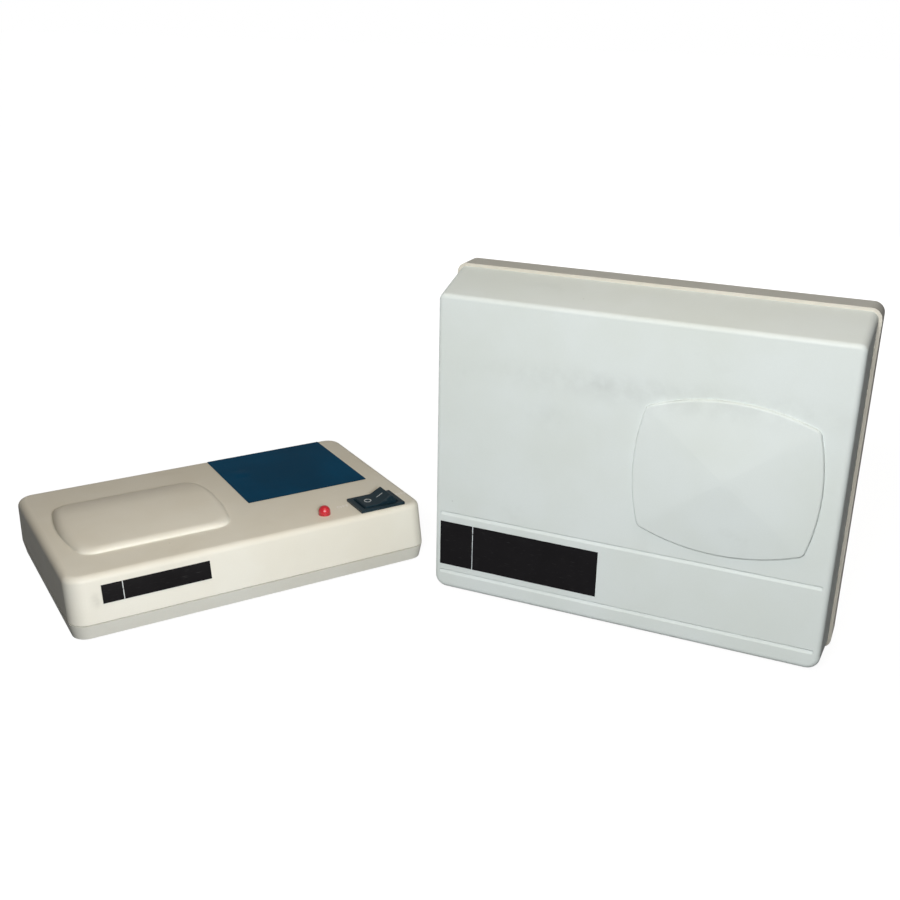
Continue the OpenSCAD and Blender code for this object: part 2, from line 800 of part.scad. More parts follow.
module switch_paddle() {
    pin_l = switch_w - 0.4;
    color(BLACK) indoor() at_pivot() rotate([0, -paddle_tilt, 0]) rotate([90, 0, 0]) {
        linear_extrude(paddle_w, center = true) paddle_profile();
        cylinder(r = pivot_r, h = pin_l, center = true);
    }
}

module switch_tabs() {
    color(BRASS) indoor() for (s = [-1, 1])
        translate([switch_x + s * switch_l / 4, control_y, in_h - switch_deep - tab_l / 2])
            cube([tab_t, tab_w, tab_l], center = true);
}

// Lamp

module lamp_lens() {
    flange_t = 1;
    color(RED) indoor() translate([lamp_x, control_y, 0]) {
        translate([0, 0, ceiling_z - flange_t]) cylinder(r = lamp_r + 0.4, h = flange_t);
        translate([0, 0, ceiling_z - SLICE]) cylinder(r = lamp_r, h = in_wall + lamp_proud - lamp_r + SLICE);
        intersection() {
            translate([0, 0, in_h + lamp_proud - lamp_r]) sphere(lamp_r);
            translate([0, 0, in_h + lamp_proud - lamp_r - SLICE]) cylinder(r = lamp_r + OVER, h = 2 * lamp_r);
        }
    }
}

module lamp_legs() {
    leg_t = 0.5;
    color(TIN) indoor() for (s = [-1, 1])
        translate([lamp_x + s * lamp_r / 2, control_y, ceiling_z - 1 - lamp_leg / 2])
            cube([leg_t, leg_t, lamp_leg], center = true);
}

// Transformer, with its middle leg upright

module at_core() {
    translate([pillow_x, core_y, core_z]) children();
}

module transformer_core() {
    color(IRON) indoor() at_core() difference() {
        translate([-core_w / 2, -core_stack / 2, 0]) cube([core_w, core_stack, core_h]);
        for (s = [-1, 1]) translate([s * (core_leg + window_w / 2), 0, core_h / 2])
            cube([window_w, core_stack + 2 * OVER, window_h], center = true);
    }
}

// Square ring around the middle leg
module leg_ring(out_x, out_y, in_x, in_y, low, high) {
    translate([0, 0, low]) linear_extrude(high - low) difference() {
        square([out_x, out_y], center = true);
        square([in_x, in_y], center = true);
    }
}

coil_x = 2 * (core_leg + window_w - coil_gap);
coil_y = core_stack + 2 * coil_out;
leg_x = 2 * core_leg + 2 * coil_gap;
leg_y = core_stack + 2 * coil_gap;
coil_low = core_leg + coil_gap;
coil_high = core_h - core_leg - coil_gap;

module transformer_bobbin() {
    color(NYLON) indoor() at_core() {
        leg_ring(leg_x + 2 * bobbin_t, leg_y + 2 * bobbin_t, leg_x, leg_y, coil_low, coil_high);
        leg_ring(coil_x, coil_y, leg_x, leg_y, coil_low, coil_low + bobbin_t);
        leg_ring(coil_x, coil_y, leg_x, leg_y, coil_high - bobbin_t, coil_high);
    }
}

module transformer_winding() {
    color(TAPE) indoor() at_core() leg_ring(coil_x - 0.6, coil_y - 0.6, leg_x + 2 * bobbin_t, leg_y + 2 * bobbin_t,
        coil_low + bobbin_t, coil_high - bobbin_t);
}

module transformer_clip() {
    top_z = core_z + core_h;
    color(STEEL) indoor() translate([pillow_x, core_y, 0]) difference() {
        union() {
            translate([-core_w / 2 - clip_t, -clip_w / 2, top_z]) cube([core_w + 2 * clip_t, clip_w, clip_t]);
            for (s = [-1, 1]) {
                translate([s * (core_w + clip_t) / 2, 0, (top_z + clip_t + clip_ear_z) / 2])
                    cube([clip_t, clip_w, top_z + clip_t - clip_ear_z], center = true);
                translate([s * (core_w / 2 + clip_t / 2 + clip_ear / 2), 0, clip_ear_z + clip_t / 2])
                    cube([clip_ear + clip_t, clip_w, clip_t], center = true);
            }
        }
        for (s = [-1, 1]) translate([s * clip_screw_x, 0, clip_ear_z - OVER])
            cylinder(r = board_screw_r + cut_clear, h = clip_t + 2 * OVER);
    }
}

module transformer_screws() {
    color(STEEL) indoor() transformer_screw_places() translate([0, 0, clip_ear_z + clip_t])
        pan_screw(board_screw_r, clip_t + clip_post - 0.4, board_head_r, board_head_h);
}

// Supply board

module supply_board() {
    color(BOARD) indoor() difference() {
        translate([supply_x - supply_l / 2, supply_y - supply_d / 2, supply_z]) cube([supply_l, supply_d, board_t]);
        supply_board_places() translate([0, 0, supply_z - OVER])
            cylinder(r = board_screw_r + cut_clear, h = board_t + 2 * OVER);
    }
}

module supply_board_screws() {
    color(STEEL) indoor() supply_board_places() translate([0, 0, supply_top_z])
        pan_screw(board_screw_r, board_t + supply_post - 0.4, board_head_r, board_head_h);
}

module smoothing_capacitor() {
    color(BLACK) indoor() on_supply() translate([smooth_place[0], smooth_place[1], 0]) cylinder(r = smooth_r, h = smooth_h);
}

// Barrel lying above a board, with its leads along X
module barrel(r, l, up) {
    translate([-l / 2, 0, up]) rotate([0, 90, 0]) cylinder(r = r, h = l);
}

// Bent lead pair of a lying barrel: from each end outwards, then down onto the board
module barrel_leads(l, span, up) {
    for (s = [-1, 1]) {
        translate([s * l / 2, 0, up]) rotate([0, s * 90, 0]) cylinder(r = lead_r, h = (span - l) / 2 + lead_r);
        translate([s * span / 2, 0, 0]) cylinder(r = lead_r, h = up);
    }
}

// Round disc standing on two legs
module disc(up) {
    translate([0, 0, up + disc_r]) rotate([90, 0, 0]) cylinder(r = disc_r, h = disc_t, center = true);
}

module disc_leads(up) {
    for (s = [-1, 1]) translate([s * disc_r / 2, 0, 0]) cylinder(r = lead_r, h = up + disc_r * 0.12);
}

diode_up = diode_r + 0.6;

module rectifier_diodes() {
    color(BLACK) indoor() on_supply() for (p = diode_places) translate([p[0], p[1], 0]) barrel(diode_r, diode_l, diode_up);
}

module choke_ring() {
    color(IRON) indoor() on_supply() translate([choke_place[0], choke_place[1], 0]) difference() {
        cylinder(r = choke_r, h = choke_h);
        translate([0, 0, -OVER]) cylinder(r = choke_r / 2, h = choke_h + 2 * OVER);
    }
}

module supply_discs() {
    color(COPPER) indoor() on_supply() for (p = supply_disc_places) translate([p[0], p[1], 0]) disc(lead_h);
}

module supply_leads() {
    color(TIN) indoor() on_supply() {
        for (p = diode_places) translate([p[0], p[1], 0]) barrel_leads(diode_l, diode_span, diode_up);
        for (p = supply_disc_places) translate([p[0], p[1], 0]) disc_leads(lead_h);
    }
}

// Indoor back

module hexagon(flat, h) {
    cylinder(r = flat / sqrt(3), h = h, $fn = 6);
}

// Places pieces of a coax socket, with +Z out of the back
module at_sockets() {
    for (x = rear_holes) translate([x, socket_flange_in_y, rear_row_h]) rotate([-90, 0, 0]) children();
}

socket_bore_r = 2.6;
socket_len = socket_nut_t + in_wall + socket_out;
socket_thread_low = 2 * socket_nut_t + in_wall + socket_run_out;

module coax_sockets() {
    color(TIN) indoor() at_sockets() difference() {
        union() {
            hexagon(socket_flat, socket_nut_t);
            cylinder(r = socket_r - socket_relief, h = socket_len);
            translate([0, 0, socket_thread_low]) cylinder(r = socket_r, h = socket_len - socket_thread_low);
        }
        translate([0, 0, -OVER]) cylinder(r = socket_bore_r, h = socket_len + 2 * OVER);
    }
}

module coax_socket_nuts() {
    color(BRASS) indoor() at_sockets() translate([0, 0, socket_nut_t + in_wall]) difference() {
        hexagon(socket_flat, socket_nut_t);
        translate([0, 0, -OVER]) cylinder(r = socket_r + pilot_clear, h = socket_nut_t + 2 * OVER);
    }
}

// White core of a socket, with the hole for the cable's wire and a solder pin inside the case
module coax_socket_cores() {
    pin_r = 0.6;
    pin_l = 5;
    wire_r = 0.7;
    wire_deep = 8;
    color(NYLON) indoor() at_sockets() difference() {
        union() {
            cylinder(r = socket_bore_r - pilot_clear, h = socket_len - 1.2);
            translate([0, 0, -pin_l]) cylinder(r = pin_r, h = pin_l + SLICE);
        }
        translate([0, 0, socket_len - 1.2 - wire_deep]) cylinder(r = wire_r, h = wire_deep + OVER);
    }
}

module mains_grommet() {
    color(RUBBER) indoor() translate([inlet_x, rear_y + inlet_flange_t, rear_row_h]) rotate([90, 0, 0])
        grommet(inlet_r, inlet_neck_r, inlet_flange_r, inlet_flange_t, in_wall);
}

// Outdoor case

// Places a shape at the lower or upper corners of the cover's mouth, facing the front
module mouth_corners(y, r, upper) {
    z = upper ? out_h - rim_lip - r : rim_lip + r;
    for (sx = [-1, 1])
        translate([sx * (cover_half_w - r), y, z]) rotate([90, 0, 0]) children();
}

// Places a shape at the lower or upper corners of the cover's face, facing the front
module face_corners(y, r, upper) {
    z = upper ? face_top_z - r : face_low_z + r;
    for (sx = [-1, 1])
        translate([sx * (face_half_w - r), y, z]) rotate([90, 0, 0]) children();
}

module slice_disc(r) {
    cylinder(r = r, h = SLICE, $fn = HULL_FN);
}

// Disc with the rounded edge of the cover's face
module edge_disc(r) {
    rotate_extrude($fn = HULL_FN) intersection() {
        translate([r - cover_edge_r, 0]) circle(cover_edge_r, $fn = HULL_FN);
        translate([0, -cover_edge_r]) square([r, 2 * cover_edge_r]);
    }
}

// Outer form of the cover, with rounded edges round its face
module cover_outside() {
    bend_y = front_y + cover_edge_r;
    hull() {
        mouth_corners(part_y, mouth_corner_r, false) slice_disc(mouth_corner_r);
        mouth_corners(part_y, roof_corner_r, true) slice_disc(roof_corner_r);
        face_corners(bend_y, cover_corner_r, false) edge_disc(cover_corner_r);
        face_corners(bend_y, roof_corner_r, true) edge_disc(roof_corner_r);
    }
}

// Hollow of the cover
module cover_inside() {
    mouth_y = part_y + OVER;
    floor_y = front_y + cover_wall + SLICE;
    hull() {
        mouth_corners(mouth_y, mouth_corner_r, false) slice_disc(inside_r(mouth_corner_r, cover_wall));
        mouth_corners(mouth_y, roof_corner_r, true) slice_disc(inside_r(roof_corner_r, cover_wall));
        face_corners(floor_y, cover_corner_r, false) slice_disc(inside_r(cover_corner_r, cover_wall));
        face_corners(floor_y, roof_corner_r, true) slice_disc(inside_r(roof_corner_r, cover_wall));
    }
}

// Outline of the badge: four bowed sides
module badge_outline() {
    side_r = arc_radius(badge_h, badge_bow_x);
    top_r = arc_radius(badge_w, badge_bow_z);
    offset(r = badge_corner_r, $fn = HULL_FN) offset(delta = -badge_corner_r) intersection() {
        intersection_for(s = [-1, 1])
            translate([s * (badge_w / 2 + badge_bow_x - side_r), 0]) circle(side_r, $fn = 180);
        intersection_for(s = [-1, 1])
            translate([0, s * (badge_h / 2 + badge_bow_z - top_r)]) circle(top_r, $fn = 180);
    }
}

module badge() {
    translate([badge_x, front_y, badge_z]) rotate([90, 0, 0]) hull() {
        translate([0, 0, -OVER]) linear_extrude(badge_edge + OVER) badge_outline();
        cylinder(r = SLICE, h = badge_edge + badge_peak, $fn = 6);
    }
}

module groove(z) {
    half = face_half_w - groove_end;
    translate([-half, front_y - OVER, z - groove_w / 2]) cube([2 * half, OVER + groove_deep, groove_w]);
}

// Tongue of length l along X that reaches from the cover's wall into the rim's mouth, which lies towards -Z
module tongue(l) {
    root = rim_wall - rim_lip - cover_wall + lip_clear;
    translate([-l / 2, part_y - tongue_root, -root - tongue_t])
        cube([l, tongue_root, root + tongue_t + cover_wall / 4]);
    translate([-l / 2, part_y - tongue_root, -root - tongue_t]) cube([l, tongue_root + tongue_l, tongue_t]);
}

module tongues() {
    inner = rim_lip + cover_wall;
    translate([0, 0, out_h - inner]) tongue(out_w - 2 * tongue_end);
    translate([0, 0, inner]) mirror([0, 0, 1]) tongue(out_w - 2 * tongue_end);
    for (s = [-1, 1]) translate([s * (out_w / 2 - inner), 0, out_h / 2]) rotate([0, s * 90, 0])
        tongue(out_h - 2 * tongue_end);
}

module outdoor_cover() {
    color(WHITE) {
        difference() {
            union() {
                cover_outside();
                badge();
            }
            cover_inside();
            groove(groove_low);
            groove(groove_high);
        }
        tongues();
    }
}

module outdoor_label() {
    color(BLACK) translate([out_label_in - face_half_w, front_y - glue_t - label_t, label_low_z])
        cube([out_label_l, label_t, out_label_h]);
}

module amp_screw_places() {
    four_corners(amp_l / 2 - board_screw_in, amp_h / 2 - board_screw_in) children();
}

module cable_places() {
    for (s = [-1, 1]) translate([s * cable_x, cable_y, 0]) children();
}

module clamp_places() {
    for (s = [-1, 1]) translate([s * clamp_x, 0, clamp_z]) children();
}

// Moulded saddle on the back, hollowed for the mast, with a boss for each clamp screw
module mast_saddle() {
    difference() {
        translate([-clamp_x - insert_r - 3, inner_back_y + SLICE, clamp_z - saddle_h / 2])
            cube([2 * (clamp_x + insert_r + 3), case_wall + saddle_d - SLICE, saddle_h]);
        translate([0, mast_y, clamp_z - saddle_h]) cylinder(r = mast_r, h = 2 * saddle_h);
        clamp_places() translate([0, saddle_y + OVER, 0]) rotate([90, 0, 0])
            cylinder(r = insert_r + pilot_clear, h = clamp_hold + 0.4 + OVER);
    }
}

module outdoor_case() {
    rear_w = out_w - 2 * rear_in;
    color(WHITE) difference() {
        union() {
            difference() {
                union() {
                    upright_plate(out_w, 0, out_h, rim_corner_r, part_y, rim_back_y);
                    upright_plate(rear_w, 0, rear_top_z, rim_corner_r, rim_back_y - OVER, back_y);
                }
                upright_plate(out_w - 2 * rim_wall, rim_wall, out_h - rim_wall, inside_r(rim_corner_r, rim_wall),
                    part_y - OVER, rim_back_y - case_wall);
                upright_plate(rear_w - 2 * case_wall, rim_wall, rear_top_z - case_wall,
                    inside_r(rim_corner_r, case_wall), rim_back_y - case_wall - OVER, inner_back_y);
            }
            mast_saddle();
            translate([0, inner_back_y + SLICE, amp_z]) rotate([90, 0, 0]) amp_screw_places()
                cylinder(r = board_boss_r, h = amp_post + SLICE);
        }
        translate([0, inner_back_y, amp_z]) rotate([90, 0, 0]) amp_screw_places()
            cylinder(r = board_screw_r + pilot_clear, h = amp_post + OVER);
        cable_places() {
            translate([0, 0, -OVER]) cylinder(r = grommet_neck_r + cut_clear, h = rim_wall + 2 * OVER);
            translate([0, 0, -OVER]) cylinder(r = grommet_flange_r + 2 * cut_clear, h = OVER + grommet_flange_t + 0.4);
        }
    }
}

module cable_grommets() {
    color(RUBBER) cable_places() translate([0, 0, 0.4])
        grommet(cable_r, grommet_neck_r, grommet_flange_r, grommet_flange_t, rim_wall - grommet_flange_t - 0.4);
}

// Amplifier board

module amplifier_board() {
    color(GLASS_BOARD) difference() {
        translate([-amp_l / 2, amp_y, amp_low_z]) cube([amp_l, board_t, amp_h]);
        translate([0, amp_y + board_t + OVER, amp_z]) rotate([90, 0, 0]) amp_screw_places()
            cylinder(r = board_screw_r + cut_clear, h = board_t + 2 * OVER);
        translate([0, amp_y + board_t + OVER, 0]) rotate([90, 0, 0]) board_fixing_places()
            cylinder(r = board_screw_r + pilot_clear, h = board_t + 2 * OVER);
    }
}

// Screws that hold the cable clips and the cables' wires, across the board and above the ground
module board_fixing_places() {
    clip_screw_places() children();
    signal_screw_places() children();
}

module clip_screw_places() {
    for (s = [-1, 1]) for (t = [-1, 1]) translate([s * cable_x + t * clip_screw_off, clip_z, 0]) children();
}

module signal_screw_places() {
    for (s = [-1, 1]) translate([s * cable_x, signal_z, 0]) children();
}

module amplifier_board_screws() {
    color(STEEL) translate([0, amp_y, amp_z]) rotate([90, 0, 0]) amp_screw_places()
        pan_screw(board_screw_r, board_t + amp_post - 0.4, board_head_r, board_head_h);
}

module cable_clips() {
    clip_w_cable = 7;
    half = clip_screw_off + 3;
    color(TIN) for (s = [-1, 1]) translate([s * cable_x, amp_y, clip_z]) difference() {
        union() {
            translate([-half, -clip_t_cable, -clip_w_cable / 2]) cube([2 * half, clip_t_cable, clip_w_cable]);
            intersection() {
                translate([0, cable_y - amp_y, 0])
                    cylinder(r = cable_r + clip_t_cable, h = clip_w_cable, center = true);
                translate([-half, -4 * cable_r, -clip_w_cable]) cube([2 * half, 4 * cable_r, 2 * clip_w_cable]);
            }
        }
        hull() for (y = [cable_y - amp_y, OVER]) translate([0, y, 0])
            cylinder(r = cable_r, h = clip_w_cable + OVER, center = true, $fn = HULL_FN);
        for (t = [-1, 1]) translate([t * clip_screw_off, OVER, 0]) rotate([90, 0, 0])
            cylinder(r = board_screw_r + cut_clear, h = clip_t_cable + 2 * OVER);
    }
}

module cable_clip_screws() {
    color(STEEL) translate([0, amp_y - clip_t_cable, 0]) rotate([90, 0, 0]) clip_screw_places()
        pan_screw(board_screw_r, clip_t_cable + board_t + 1, board_head_r, board_head_h);
}

module signal_screws() {
    plate = 7;
    color(BRASS) translate([0, amp_y, 0]) rotate([90, 0, 0]) signal_screw_places() {
        translate([-plate / 2, -plate / 2, 0]) cube([plate, plate, clip_t_cable]);
        translate([0, 0, clip_t_cable - SLICE])
            pan_screw(board_screw_r, clip_t_cable + board_t + 1, board_head_r, board_head_h);
    }
}

// Ferrite block with two holes between the cable ends
module matching_core() {
    block_l = 13;
    block_w = 8;
    block_t = 7;
    color(IRON) on_amp() translate([matching_place[0], matching_place[1], 0]) difference() {
        translate([-block_l / 2, -block_w / 2, 0]) cube([block_l, block_w, block_t]);
        for (s = [-1, 1]) translate([s * block_l / 4, 0, block_t / 2]) rotate([90, 0, 0])
            cylinder(r = block_t / 4, h = block_w + 2 * OVER, center = true);
    }
}

module transistors() {
    color(BLACK) on_amp() for (p = transistor_places) translate([p[0], p[1], lead_h]) difference() {
        cylinder(r = transistor_r, h = transistor_h);
        translate([-transistor_r, transistor_r * 0.6, -OVER])
            cube([2 * transistor_r, transistor_r, transistor_h + 2 * OVER]);
    }
}

// Air-wound coil: one tube along a helix, whose two legs run down onto the board
coil_up = coil_r + 1.6;
function coil_path() = concat(
    [[coil_point(0)[0], -coil_r, -coil_up]],
    [for (i = [0:coil_rings]) coil_point(i / coil_rings)],
    [[coil_point(1)[0], -coil_r, -coil_up]]
);
coil_sides = 6;

function unit(v) = v / norm(v);
function path_tangent(p, i) = unit(p[min(i + 1, len(p) - 1)] - p[max(i - 1, 0)]);

// Ring of points around a path point, with its first point turned towards the coil's axis direction
function path_ring(p, i) =
    let (t = path_tangent(p, i))
    let (u = unit([1, 0, 0] - t * t[0]))
    let (v = cross(t, u))
    [for (k = [0:coil_sides - 1])
        p[i] + coil_wire_r * (u * cos(360 * k / coil_sides) + v * sin(360 * k / coil_sides))];

module tube(p) {
    n = len(p);
    points = [for (i = [0:n - 1]) for (q = path_ring(p, i)) q];
    sides = [for (i = [0:n - 2]) for (k = [0:coil_sides - 1])
        let (a = i * coil_sides + k)
        let (b = i * coil_sides + (k + 1) % coil_sides)
        for (f = [[a, b, b + coil_sides], [a, b + coil_sides, a + coil_sides]]) f];
    last = (n - 1) * coil_sides;
    caps = [for (k = [1:coil_sides - 2]) for (f = [[0, k + 1, k], [last, last + k, last + k + 1]]) f];
    polyhedron(points, concat(sides, caps));
}

module air_coils() {
    color(COPPER) on_amp() for (p = coil_places) translate([p[0], p[1], coil_up]) tube(coil_path());
}

module amplifier_capacitors() {
    color(NAVY) on_amp() for (p = capacitor_places) translate([p[0], p[1], 0]) cylinder(r = capacitor_r, h = capacitor_h);
}

module amplifier_discs() {
    color(COPPER) on_amp() for (p = disc_places) translate([p[0], p[1], 0]) disc(lead_h);
}

resistor_up = resistor_r + 0.5;

module amplifier_resistors() {
    color(TAPE) on_amp() for (p = resistor_places) translate([p[0], p[1], 0])
        barrel(resistor_r, resistor_l, resistor_up);
}

module amplifier_leads() {
    color(TIN) on_amp() {
        for (p = resistor_places) translate([p[0], p[1], 0]) barrel_leads(resistor_l, resistor_span, resistor_up);
        for (p = disc_places) translate([p[0], p[1], 0]) disc_leads(lead_h);
        for (p = transistor_places) for (s = [-1:1]) translate([p[0] + s * 1.3, p[1], 0])
            cylinder(r = lead_r, h = lead_h);
    }
}

// Mast clamp

module clamp_inserts() {
    color(BRASS) clamp_places() translate([0, saddle_y, 0]) rotate([90, 0, 0]) difference() {
        cylinder(r = insert_r, h = clamp_hold);
        translate([0, 0, -OVER]) cylinder(r = clamp_screw_r + pin_clear, h = clamp_hold + 2 * OVER);
    }
}

module clamp_strap() {
    color(STEEL) translate([0, 0, clamp_z]) difference() {
        union() {
            translate([0, mast_y, 0]) cylinder(r = mast_r + strap_t, h = strap_h, center = true);
            translate([-mast_r - strap_t, ear_y, -strap_h / 2])
                cube([2 * (mast_r + strap_t), mast_y - ear_y, strap_h]);
            translate([-ear_half, ear_y, -strap_h / 2]) cube([2 * ear_half, strap_t, strap_h]);
        }
        translate([0, mast_y, 0]) cylinder(r = mast_r, h = strap_h + 2 * OVER, center = true);
        translate([-mast_r, ear_y - mast_r, -strap_h / 2 - OVER])
            cube([2 * mast_r, mast_y - ear_y + mast_r, strap_h + 2 * OVER]);
        translate([-mast_r - strap_t - OVER, mast_y - 2 * mast_r, -strap_h / 2 - OVER])
            cube([2 * (mast_r + strap_t + OVER), 2 * mast_r + ear_y - mast_y, strap_h + 2 * OVER]);
        for (s = [-1, 1]) translate([s * clamp_x, ear_y - OVER, 0]) rotate([-90, 0, 0])
            cylinder(r = clamp_screw_r + 2 * cut_clear, h = strap_t + 2 * OVER);
    }
}

module clamp_washers() {
    color(STEEL) clamp_places() translate([0, ear_y + strap_t, 0]) rotate([-90, 0, 0]) difference() {
        cylinder(r = washer_r, h = washer_t);
        translate([0, 0, -OVER]) cylinder(r = clamp_screw_r + cut_clear, h = washer_t + 2 * OVER);
    }
}

// Hexagon-headed clamp screw on the side s
module clamp_screw(s) {
    seat_y = ear_y + strap_t + washer_t;
    color(STEEL) translate([s * clamp_x, seat_y, clamp_z]) rotate([-90, 0, 0]) {
        hexagon(clamp_flat, clamp_head_h);
        translate([0, 0, saddle_y - clamp_hold - seat_y])
            cylinder(r = clamp_screw_r, h = seat_y + clamp_hold - saddle_y + SLICE);
    }
}

module clamp_screw_left() {
    clamp_screw(-1);
}

module clamp_screw_right() {
    clamp_screw(1);
}

indoor_top();
indoor_base();
indoor_feet();
indoor_case_screws();
indoor_panel();
indoor_label();
switch_housing();
switch_paddle();
switch_tabs();
lamp_lens();
lamp_legs();
transformer_core();
transformer_bobbin();
transformer_winding();
transformer_clip();
transformer_screws();
supply_board();
supply_board_screws();
smoothing_capacitor();
rectifier_diodes();
choke_ring();
supply_discs();
supply_leads();
coax_sockets();
coax_socket_nuts();
coax_socket_cores();
mains_grommet();
outdoor_cover();
outdoor_case();
outdoor_label();
amplifier_board();
amplifier_board_screws();
matching_core();
transistors();
air_coils();
amplifier_capacitors();
amplifier_discs();
amplifier_resistors();
amplifier_leads();
cable_clips();
cable_clip_screws();
signal_screws();
cable_grommets();
clamp_inserts();
clamp_strap();
clamp_washers();
clamp_screw_left();
clamp_screw_right();
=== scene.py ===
"""Television signal amplifier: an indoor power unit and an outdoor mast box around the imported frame."""

import json
import math

import bmesh
import bpy
from mathutils import Matrix, Vector

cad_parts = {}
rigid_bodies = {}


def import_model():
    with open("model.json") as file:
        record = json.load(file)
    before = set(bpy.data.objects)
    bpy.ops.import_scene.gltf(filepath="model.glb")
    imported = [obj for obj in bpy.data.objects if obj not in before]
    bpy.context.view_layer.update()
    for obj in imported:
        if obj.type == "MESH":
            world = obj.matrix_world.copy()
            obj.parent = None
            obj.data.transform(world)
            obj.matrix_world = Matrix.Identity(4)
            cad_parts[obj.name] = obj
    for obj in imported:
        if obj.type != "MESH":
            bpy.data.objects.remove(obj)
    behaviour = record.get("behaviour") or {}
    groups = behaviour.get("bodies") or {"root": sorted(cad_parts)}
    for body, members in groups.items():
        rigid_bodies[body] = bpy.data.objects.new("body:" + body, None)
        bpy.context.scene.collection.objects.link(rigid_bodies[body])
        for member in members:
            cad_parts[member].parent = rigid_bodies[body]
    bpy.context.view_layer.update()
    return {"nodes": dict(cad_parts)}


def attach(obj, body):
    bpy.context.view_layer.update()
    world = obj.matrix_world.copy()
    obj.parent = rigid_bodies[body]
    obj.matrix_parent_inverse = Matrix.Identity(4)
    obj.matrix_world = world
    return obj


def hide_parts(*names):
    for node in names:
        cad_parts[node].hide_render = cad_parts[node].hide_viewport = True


bl_info = {
    "name": "Television Signal Amplifier",
    "version": (1, 0, 0),
    "blender": (4, 5, 0),
    "location": "View3D > Sidebar > Amplifier",
    "description": "Dresses a two-unit television signal amplifier around its packed frame",
    "category": "Object",
}

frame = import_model()

MM = 0.001


def put(thing, **values):
    """Sets several values of a thing."""
    for key, value in values.items():
        setattr(thing, key, value)
    return thing


# Settings that a user would change


def size(label, mm, words):
    """A length in the panel, given here in millimetres."""
    return bpy.props.FloatProperty(
        name=label, description=words, default=mm * MM, precision=4, unit="LENGTH", subtype="DISTANCE")


def angle(label, degrees, words):
    """An angle in the panel, given here in degrees."""
    return bpy.props.FloatProperty(
        name=label, description=words, default=math.radians(degrees), unit="ROTATION", subtype="ANGLE")


def power(label, watts, words):
    """The power of a lamp in the panel."""
    return bpy.props.FloatProperty(name=label, description=words, default=watts, unit="POWER")


def linear(channel):
    """One channel of a written colour, 0 to 255, as light."""
    c = channel / 255
    return c / 12.92 if c <= 0.04045 else ((c + 0.055) / 1.055) ** 2.4


def tint(label, red, green, blue, words):
    """A colour in the panel, given here as it is written on a screen."""
    return bpy.props.FloatVectorProperty(
        name=label, description=words, subtype="COLOR", size=3, min=0, max=1,
        default=(linear(red), linear(green), linear(blue)))


class IndoorSizes(bpy.types.PropertyGroup):
    """Sizes of the indoor power unit, in its own frame."""

    place_x: size("Place X", -173.5, "Sideways place of the unit's middle")
    place_y: size("Place Y", -46, "Fore and aft place of the unit's middle")
    turn: angle("Turn", 54.7, "Turn of the unit about the upright")
    length: size("Length", 152, "Length of the case at its seam")
    depth: size("Depth", 94, "Depth of the case at its seam")
    height: size("Height", 25.2, "Height of the flat top above the table")
    seam: size("Seam height", 7.2, "Height of the seam above the table")
    corner: size("Corner radius", 7, "Plan radius of the case corners")
    edge: size("Edge rounding", 3, "Rounding of the top edges")
    lean: size("Front lean", 3.5, "How far the front wall leans back")
    wall: size("Wall", 2.2, "Wall of the case")
    cushion_x: size("Cushion place", -34.75, "Middle of the raised cushion along the case")
    cushion_l: size("Cushion length", 59.5, "Length of the cushion at its corners")
    cushion_d: size("Cushion depth", 51, "Depth of the cushion")
    cushion_bow: size("Cushion bow", 4, "How far each short end of the cushion bows out")
    cushion_h: size("Cushion height", 4.2, "Height of the cushion's crest above the flat top")
    cushion_lip: size("Cushion lip", 1.9, "Height of the cushion's front edge above the flat top")
    cushion_tail: size("Cushion tail", 0.8, "Height of the cushion's back edge above the flat top")
    cushion_front: size("Cushion front", 2.8, "Width over which the cushion's long edges roll down")
    cushion_back: size("Cushion back", 19, "Width over which the cushion's back falls")
    cushion_end: size("Cushion ends", 4, "Width over which the cushion's short ends roll down")
    cushion_corner: size("Cushion corner", 7, "Corner radius of the cushion")
    lamp_x: size("Lamp place", 33.4, "Place of the lamp along the case")
    control_y: size("Control row", -33.8, "Place of lamp and switch across the case")
    lamp_hole: size("Lamp hole", 2.6, "Radius of the hole for the lamp")
    switch_x: size("Switch place", 57.6, "Place of the switch along the case")
    switch_l: size("Switch cut length", 19.2, "Length of the cut-out for the switch")
    switch_w: size("Switch cut width", 13.2, "Width of the cut-out for the switch")
    pivot_z: size("Pivot height", 23.5, "Height of the rocker's pivot")
    tilt: angle("Rocker tilt", 14, "Tilt of the rocker at rest")
    rear_row: size("Rear row", 16.2, "Height of the sockets and the cord hole")
    socket_x: size("Socket place", 20, "Place of the first coax socket along the case")
    socket_step: size("Socket step", 27, "Distance between the coax sockets")
    socket_hole: size("Socket hole", 4.86, "Radius of the holes for the sockets")
    inlet_x: size("Cord hole place", -50, "Place of the mains cord hole along the case")
    inlet_hole: size("Cord hole", 4.9, "Radius of the mains cord hole")
    boss_r: size("Boss radius", 3.6, "Radius of the screw bosses")
    pilot_r: size("Pilot radius", 1.5, "Radius of the screw holes in the bosses")
    pilot_deep: size("Pilot depth", 9.7, "Depth of the screw holes above the seam")
    screw_in: size("Screw distance", 11, "Distance of the case screws from the case sides")
    front_screw_x: size("Front screw place", 20, "Distance of the front screws from the middle")


